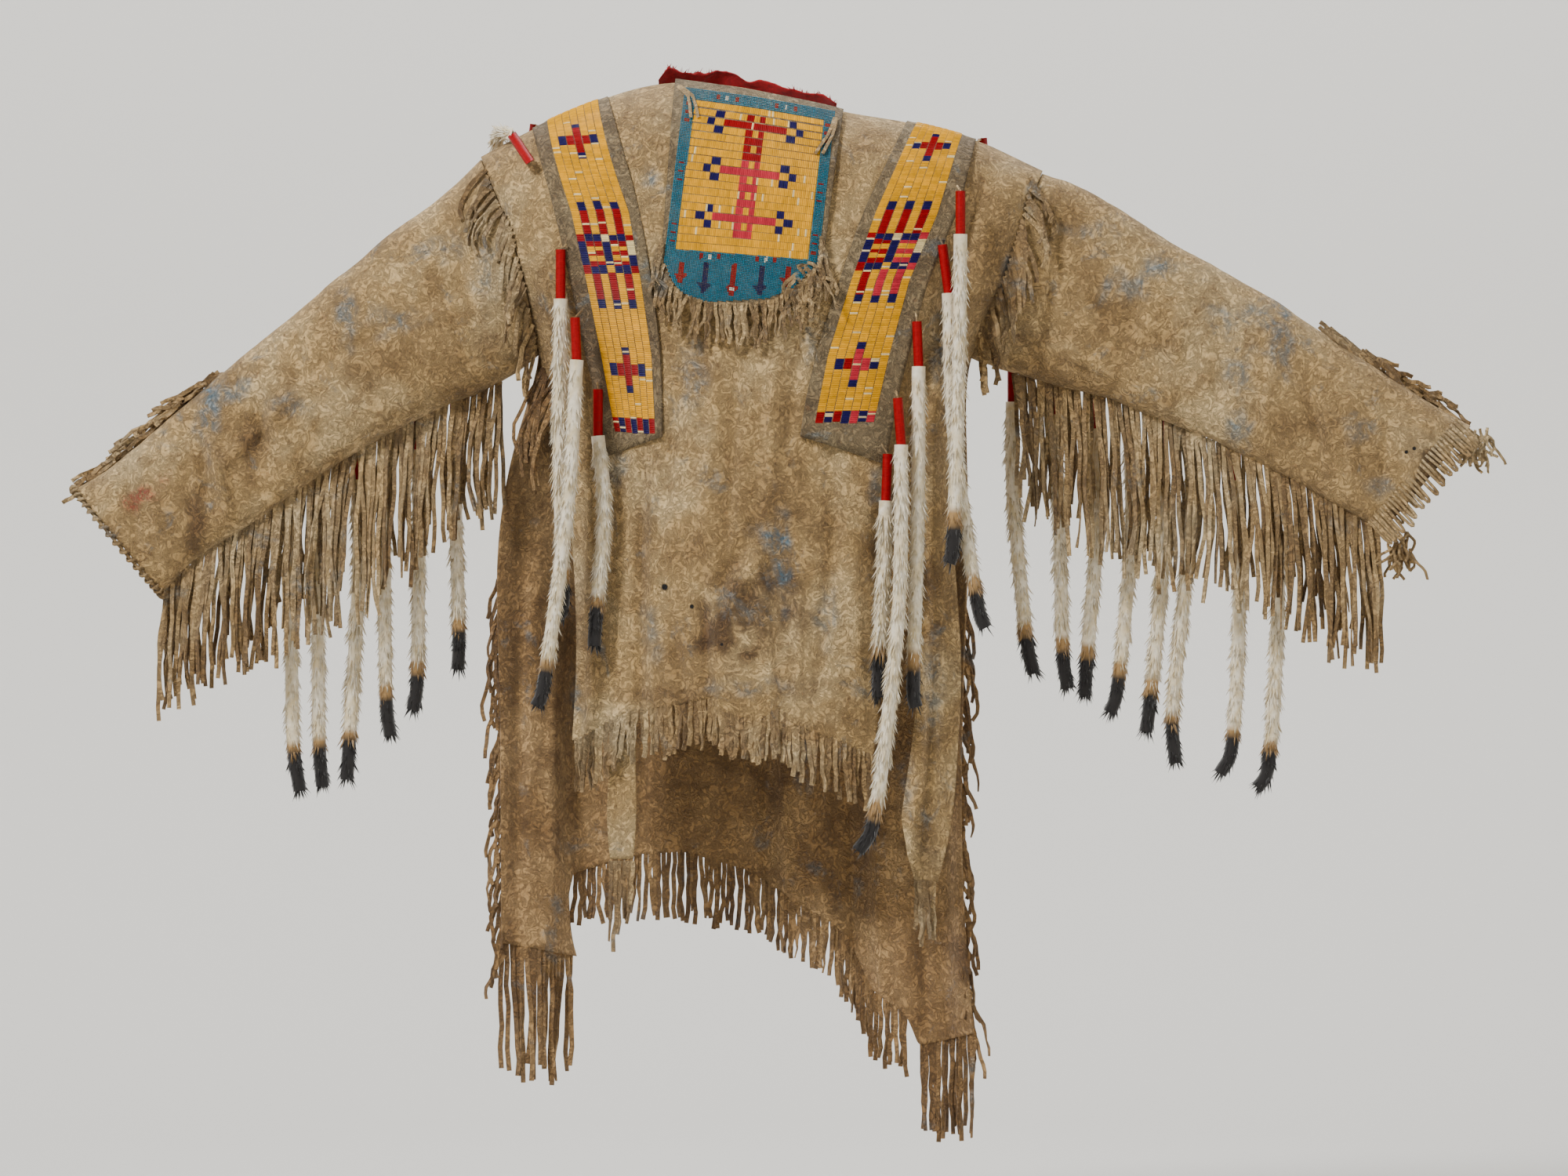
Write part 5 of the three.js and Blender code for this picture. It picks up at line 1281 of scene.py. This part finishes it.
whip = []
turns_round, steps_a_turn, roll_out, whip_radius, edge_steps = 40, 8, 0.0032, 0.0038, 160
for k in range(turns_round * steps_a_turn + 1):
    share = k / (turns_round * steps_a_turn)
    centre, way = cuff_ring("left", share * 0.9999, roll_out)
    side_way = np.cross(way, cuff_ring("left", (share + 0.01) % 1, roll_out)[0] - centre)
    side_way /= np.linalg.norm(side_way)
    phase = 2 * math.pi * k / steps_a_turn
    whip.append(centre + (way * math.cos(phase) + side_way * math.sin(phase)) * whip_radius)
rolled_edge = [cuff_ring("left", k / edge_steps * 0.9999, roll_out)[0] for k in range(edge_steps + 1)]
whip_lines = [(line, [wide] * len(line), [0.0] * len(line))
              for line, wide in ((whip, 1.0), (rolled_edge, 1.75))]
whip_piece = lines_to_mesh("left_cuff_whipping", whip_lines, round_tree, 3.6, 1, thong_hide, 0.3, True)

loops = []
feet_in, loop_half, loop_points = -0.020, 0.0026, 13
loop_rows = [(share, -1.0) for share in np.linspace(0.06, 0.44, 17)]
loop_rows += [(share, 1.0) for share in np.linspace(0.58, 0.92, 14)]
for share, face in loop_rows:
    foot, way = cuff_ring("right", share, feet_in)
    beside = cuff_ring("right", share + 0.01, feet_in)[0] - foot
    beside /= np.linalg.norm(beside)
    out = np.array([0, face, 0])
    reach = rng.uniform(34, 42) * mm
    low = way + np.array([0, 0, -0.25 - rng.uniform(0, 0.2)])
    low = low / np.linalg.norm(low)
    spots = []
    for turn in np.linspace(0, math.pi, loop_points):
        down, aside = math.sin(turn), math.copysign(abs(math.cos(turn)) ** 0.4, math.cos(turn))
        off_skin = out * (0.002 + 0.010 * down ** 0.5)
        spots.append(foot + low * reach * down + off_skin - beside * loop_half * aside)
    loops.append((spots, [1.0] * loop_points, list(rng.normal(0, 0.15, loop_points))))
# a tangle at each end of the opening: its middle and how many thongs it has
for centre, count in (((834, -402), 26), ((744, -520), 30)):
    for k in range(count):
        x, z = (centre[0] + rng.uniform(-12, 12)) * mm, (centre[1] + rng.uniform(-14, 10)) * mm
        root = (x, -0.03 + rng.uniform(-0.01, 0.02), z)
        way = (rng.uniform(-0.8, 0.8), rng.uniform(-0.5, 0.3), -1)
        loops.append(thong_line(root, way, rng.uniform(22, 40), 8, 9))
loop_piece = lines_to_mesh("right_cuff_loops", loops, round_tree, 3.4, 1, thong_hide, 0.2, True)

# %% Ties at the bib's upper corners
tie_routes = {"left": [(-80, -3), (-74, -8), (-66, -16), (-63, -28), (-61, -42)],
              "right": [(99, -40), (97, -50), (93, -62), (87, -72), (80, -84)]}
ties = {}
for side, route in tie_routes.items():
    knots = []
    for strand in (-1, 1):
        spots = []
        for k, (x, z) in enumerate(route):
            spot, _ = seen(dressed_tree, x * mm, z * mm)
            spread = strand * (1.0 + 0.8 * k)
            spots.append((x * mm + spread * mm, spot[1] - 0.0035, z * mm))
        knots.append((spots, [1, 1, 1, 0.95, 1.1], [0, 0.2, 0.4, 0.3, 0.1]))
    ties[side] = lines_to_mesh(f"{side}_bib_tie", knots, flat_tree, 3.6, thong_thick, thong_hide, 0.2)

# %% [markdown]
# An ermine tail hangs from a thong. Its top is a small roll wrapped with red quills, which shows as fine
# ribs. Below it is the white winter fur with its black tip. The fur is thousands of thin hairs, set
# by the stamp tree on a soft core, and combed down with a little lift.

# %% Middle lines of the tails
tail_rows = {
    "tail_left_1": [(-206, -186), (-213, -192), (-213, -248), (-214, -430), (-210, -585), (-218, -610)],
    "tail_left_2": [(-189, -262), (-196, -270), (-194, -318), (-204, -480), (-230, -677), (-240, -710)],
    "tail_left_3": [(-172, -342), (-171, -350), (-171, -403), (-164, -490), (-174, -620), (-175, -642)],
    "tail_right_1": [(236, -120), (240, -127), (240, -176), (238, -330), (232, -516), (227, -548)],
    "tail_right_2": [(217, -178), (220, -187), (227, -242), (233, -400), (258, -585), (269, -621)],
    "tail_right_3": [(190, -264), (191, -274), (193, -325), (192, -500), (187, -680), (190, -711)],
    "tail_right_4": [(167, -352), (169, -361), (173, -414), (170, -600), (144, -828), (124, -873)],
    "tail_right_5": [(151, -412), (158, -424), (156, -477), (152, -580), (148, -672), (148, -700)],
}
sleeve_tails = {
    "left": [(-531, -410, -528, -526, -746, -518, -810), (-496, -400, -497, -496, -746, -492, -805),
             (-452, -385, -450, -458, -706, -464, -797), (-422, -366, -421, -419, -698, -414, -747),
             (-382, -350, -381, -383, -678, -388, -717), (-340, -330, -339, -335, -621, -336, -670)],
    "right": [(304, -295, 305, 320, -630, 329, -675), (350, -310, 358, 362, -644, 368, -692),
              (402, -326, 402, 390, -663, 388, -700), (440, -338, 441, 426, -686, 416, -720),
              (474, -352, 478, 463, -705, 458, -742), (512, -366, 506, 489, -712, 492, -778),
              (562, -386, 566, 558, -750, 543, -790), (606, -402, 610, 600, -772, 586, -806)],
}
roll_long = 54
for side, rows in sleeve_tails.items():
    for k, (root_x, root_z, mid_x, fur_x, fur_z, tip_x, tip_z) in enumerate(rows, 1):
        roll = root_z - 12
        tail_rows[f"tail_sleeve_{side}_{k}"] = [
            (root_x, root_z - 4), (root_x, roll), (root_x, roll - roll_long), (mid_x, (roll + fur_z) / 2),
            (fur_x, fur_z), (tip_x, tip_z)]


def smooth_path(stations, count):
    # a curve through every station, with its points spread evenly along it
    stations = np.array(stations, dtype=float)
    padded = np.vstack([2 * stations[0] - stations[1], stations, 2 * stations[-1] - stations[-2]])
    spots = []
    for t in np.linspace(0, len(stations) - 1 - 1e-9, count):
        k = int(t)
        f = t - k
        p0, p1, p2, p3 = padded[k:k + 4]
        spots.append(p1 + 0.5 * f * (p2 - p0 + f * (2 * p0 - 5 * p1 + 4 * p2 - p3
                                                    + f * (3 * p1 - p0 - 3 * p2 + p3))))
    return np.array([along(spots, share) for share in np.linspace(0, 1, count)])


def tail_stations(name, rows):
    tree = look_up(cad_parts[name])
    depth = 0
    stations = []
    for x, z in rows:
        near, _ = seen(tree, x * mm, z * mm, -1)
        far, _ = seen(tree, x * mm, z * mm, 1)
        if near is not None and far is not None:
            depth = (near[1] + far[1]) / 2
        elif not stations:
            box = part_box(name)
            depth = (box[0][1] + box[1][1]) / 2
        stations.append((x * mm, depth, z * mm))
    return stations


tail_paths = {name: tail_stations(name, rows) for name, rows in tail_rows.items()}
tail_paths["tail_shoulder_left_1"] = [
    (-0.240, -0.080, -0.092), (-0.248, -0.081, -0.092), (-0.271, -0.030, -0.057), (-0.288, 0.014, -0.055),
    (-0.290, 0.052, -0.082), (-0.282, 0.088, -0.135), (-0.272, 0.092, -0.180), (-0.260, 0.092, -0.285)]
tail_paths["tail_shoulder_left_2"] = [
    (-0.236, 0.012, -0.050), (-0.247, 0.031, -0.042), (-0.254, 0.082, -0.078), (-0.252, 0.100, -0.110),
    (-0.238, 0.112, -0.200), (-0.226, 0.118, -0.320), (-0.222, 0.118, -0.352)]
tail_paths["tail_shoulder_right_1"] = [
    (0.258, 0.012, -0.066), (0.269, 0.029, -0.058), (0.274, 0.080, -0.094), (0.272, 0.100, -0.130),
    (0.256, 0.112, -0.210), (0.238, 0.118, -0.320), (0.232, 0.118, -0.352)]
print("tails:", len(tail_paths))

# %% Rolls, cores and hairs
fur_white, fur_cream, fur_tan, fur_black = (dye(c) for c in ("#fbf1dc", "#dcc798", "#a5814e", "#0e0705"))
black_tip, tan_ring = 46, 14


def fur_tint(left):
    if left < black_tip:
        return fur_black
    if left < black_tip + tan_ring:
        return fur_tan
    return fur_white + (fur_cream - fur_white) * rng.uniform(0, 1)


def length_of(line):
    return np.linalg.norm(np.diff(line, axis=0), axis=1).sum() / mm


rolls, strings, cores, tail_lengths = [], [], [], []
hair_rows = {group: start_rows() for group in ("front", "left", "right")}
hairs_each = 760
core_wide, core_steps, roll_wide, roll_steps, string_steps = 15.5, 40, 11, 72, 6
for name, stations in tail_paths.items():
    strings.append((smooth_path(stations[:2], string_steps), [1.0] * string_steps, [0.0] * string_steps))
    roll = smooth_path(stations[1:3], roll_steps)
    ribs = [1 + 0.09 * math.cos(2 * math.pi * k / 3) for k in range(roll_steps)]
    ribs[0] = ribs[-1] = 0.7
    rolls.append((roll, ribs, [0.0] * roll_steps))
    line = smooth_path(stations[2:], core_steps)
    wide = rng.uniform(0.86, 1.1)
    long_tail = length_of(line)
    tail_lengths.append(long_tail)
    lumps = rng.uniform(0, 6, 2)
    swell = []
    for t in np.linspace(0, 1, core_steps):
        gone, left = t * long_tail, (1 - t) * long_tail
        lump = 1 + 0.09 * math.sin(lumps[0] + gone / 11) + 0.07 * math.sin(lumps[1] + gone / 5)
        swell.append(wide * lump * min(1, 0.6 + gone / 40) * min(1, 0.3 + left / (black_tip + 20)))
    cores.append((line, swell, [0.0] * core_steps))
    group = "left" if "sleeve_left" in name else "right" if "sleeve_right" in name else "front"
    rows = hair_rows[group]
    for _ in range(hairs_each):
        t = rng.uniform(0, 0.985)
        spot = along(line, t)
        heading = along(line, min(t + 0.02, 1)) - along(line, max(t - 0.02, 0))
        heading /= np.linalg.norm(heading)
        phase = rng.uniform(0, 2 * math.pi)
        level = np.cross(heading, [0.31, 0.95, 0.05])
        level /= np.linalg.norm(level)
        out = level * math.cos(phase) + np.cross(heading, level) * math.sin(phase)
        half = core_wide / 2 * mm * np.interp(t, np.linspace(0, 1, core_steps), swell)
        lift = rng.uniform(0.12, 0.55)
        comb = heading + out * lift
        comb /= np.linalg.norm(comb)
        long = rng.uniform(10, 17) * (1.3 if t > 0.92 else 1)
        across = np.cross(out, comb)
        put(rows, spot + out * half * 0.75, across, np.cross(comb, across),
            (rng.uniform(1.6, 3.0) * mm, 2.0 * mm, long * mm), vary(fur_tint((1 - t) * long_tail), 0.1))

roll_piece = lines_to_mesh("tail_rolls", rolls, round_tree, roll_wide, 1, quills, 0, True)
string_piece = lines_to_mesh("tail_thongs", strings, round_tree, 2.4, 1, thong_hide, 0.2, True)
core_piece = lines_to_mesh("tail_cores", cores, round_tree, core_wide, 1, fur, 0, True)
hair_pieces = [stamp(f"tail_hairs_{group}", fur_hair, fur, *rows) for group, rows in hair_rows.items()]


def tint_all(piece, rule):
    layer = piece.data.attributes.new("tint", "FLOAT_COLOR", "POINT")
    values = np.array([rule(k) for k in range(len(piece.data.vertices))])
    layer.data.foreach_set("color", values.reshape(-1))


def core_tint(k):
    # the sweep gives its points ring by ring, tail after tail
    tail, ring = min(k // (round_sides * core_steps), len(tail_lengths) - 1), k // round_sides % core_steps
    return np.append(fur_tint((1 - ring / (core_steps - 1)) * tail_lengths[tail])[:3], 1)


tint_all(roll_piece, lambda k: vary(red, 0.2))
tint_all(core_piece, core_tint)

# %% [markdown]
# A strip of red trade wool stands up behind the neck slit. Its torn edge is frayed, which short hairs show.

# %% The red wool
fray_hairs = 900
neck_wool = wall_copy("neck_cloth", "neck_wool", 3)
wool_points = coordinates(neck_wool)
wool_points[:, 1] += slack(wool_points, 30, 2.0 * mm, 21)
wool_points[:, 2] += slack(wool_points, 42, 6 * mm, 31) * np.clip((wool_points[:, 2] + 0.01) / 0.02, 0, 1)
taper = np.clip((0.116 - wool_points[:, 0]) / 0.03, 0, 1) * np.clip((wool_points[:, 0] + 0.112) / 0.02, 0, 1)
end_low = np.where(wool_points[:, 0] > 0, -0.028, -0.002)
proud = np.clip(wool_points[:, 2] - end_low, 0, None)
wool_points[:, 2] -= proud * (1 - taper)
put_coordinates(neck_wool, wool_points)
finish_with(neck_wool, wool)
wool_red = dye("#a6060f")
tint_all(neck_wool, lambda k: np.append(wool_red[:3], 1))
wool_tree = look_up(neck_wool)
rows = start_rows()
for k in range(fray_hairs):
    above = Vector((rng.uniform(-0.100, 0.104), 0.014 + rng.uniform(-0.012, 0.02), 0.3))
    spot = wool_tree.ray_cast(above, Vector((0, 0, -1)))[0]
    if spot is None or spot.z < -0.03:
        continue
    across = np.array([1.0, rng.normal(0, 0.4), rng.normal(0, 0.3)])
    comb = np.array([rng.normal(0, 0.5), rng.normal(0, 0.4), 1])
    across -= comb * (across @ comb) / (comb @ comb)
    put(rows, np.array(spot) - comb * mm, across, np.cross(comb, across),
        (0.8 * mm, 2.5 * mm, rng.uniform(4, 9) * mm), vary(wool_red, 0.25))
wool_fray = stamp("neck_cloth_fray", fur_hair, wool, *rows)

# %% The tab inside the front hem
tab = wall_copy("front_tab_hide", "front_tab", 3)
press(tab, [(-150, -720, -150, -880, 6, -1.5)], forward, lambda points: 1.0, 20, 1.2, 5)
paint_on(tab, "earth_and_shade", earth_and_shade_blots)
finish_with(tab, hide)
for shape_piece in (quill_wrap, seed_bead, fur_hair):
    bpy.data.objects.remove(shape_piece)
print("tab made")

# %% [markdown]
# A piece rides on the one body of the shirt and replaces the solids that it was made from. The skins,
# the sleeves, the backings, the wool and the tab are sheets, and the area of one side of each is printed.

# %% Attach each piece to the body, and hide the solids that it replaces
def belongs(piece, slot, *nodes):
    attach(piece, "root")
    if nodes:
        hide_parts(*nodes)


belongs(front, "hide", "front_panel")
belongs(back, "inner_hide", "back_panel")
for side in ("left", "right"):
    belongs(sleeves[side], "hide", f"sleeve_{side}")
    belongs(band_backings[side], "quills", f"band_{side}")
    belongs(band_quills[side], "quills")
    belongs(ties[side], "hide", f"tie_{side}")
belongs(bib_backing, "beads", "bib")
belongs(bib_quills, "quills")
belongs(bib_beads, "beads")
belongs(neck_wool, "wool", "neck_wool")
belongs(wool_fray, "wool")
belongs(tab, "hide", "front_tab")
for piece, node, slot in fringe_pieces.values():
    belongs(piece, slot, node)
belongs(whip_piece, "hide", "cuff_whip_left")
belongs(loop_piece, "hide", "cuff_loops_right")
belongs(roll_piece, "quills")
belongs(string_piece, "hide")
belongs(core_piece, "ermine", *tail_paths)
for piece in hair_pieces:
    belongs(piece, "ermine")


def half_area(piece):
    return sum(face.area for face in piece.data.polygons) / 2


for piece in (front, back, *sleeves.values(), *band_backings.values(), bib_backing, neck_wool, tab):
    print(piece.name, "is", round(half_area(piece), 4), "square metres")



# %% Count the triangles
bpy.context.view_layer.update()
triangles = {piece.name: sum(len(face.vertices) - 2 for face in piece.data.polygons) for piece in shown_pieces()}
print("pieces:", len(triangles), "triangles:", sum(triangles.values()), "most:", max(triangles.values()))
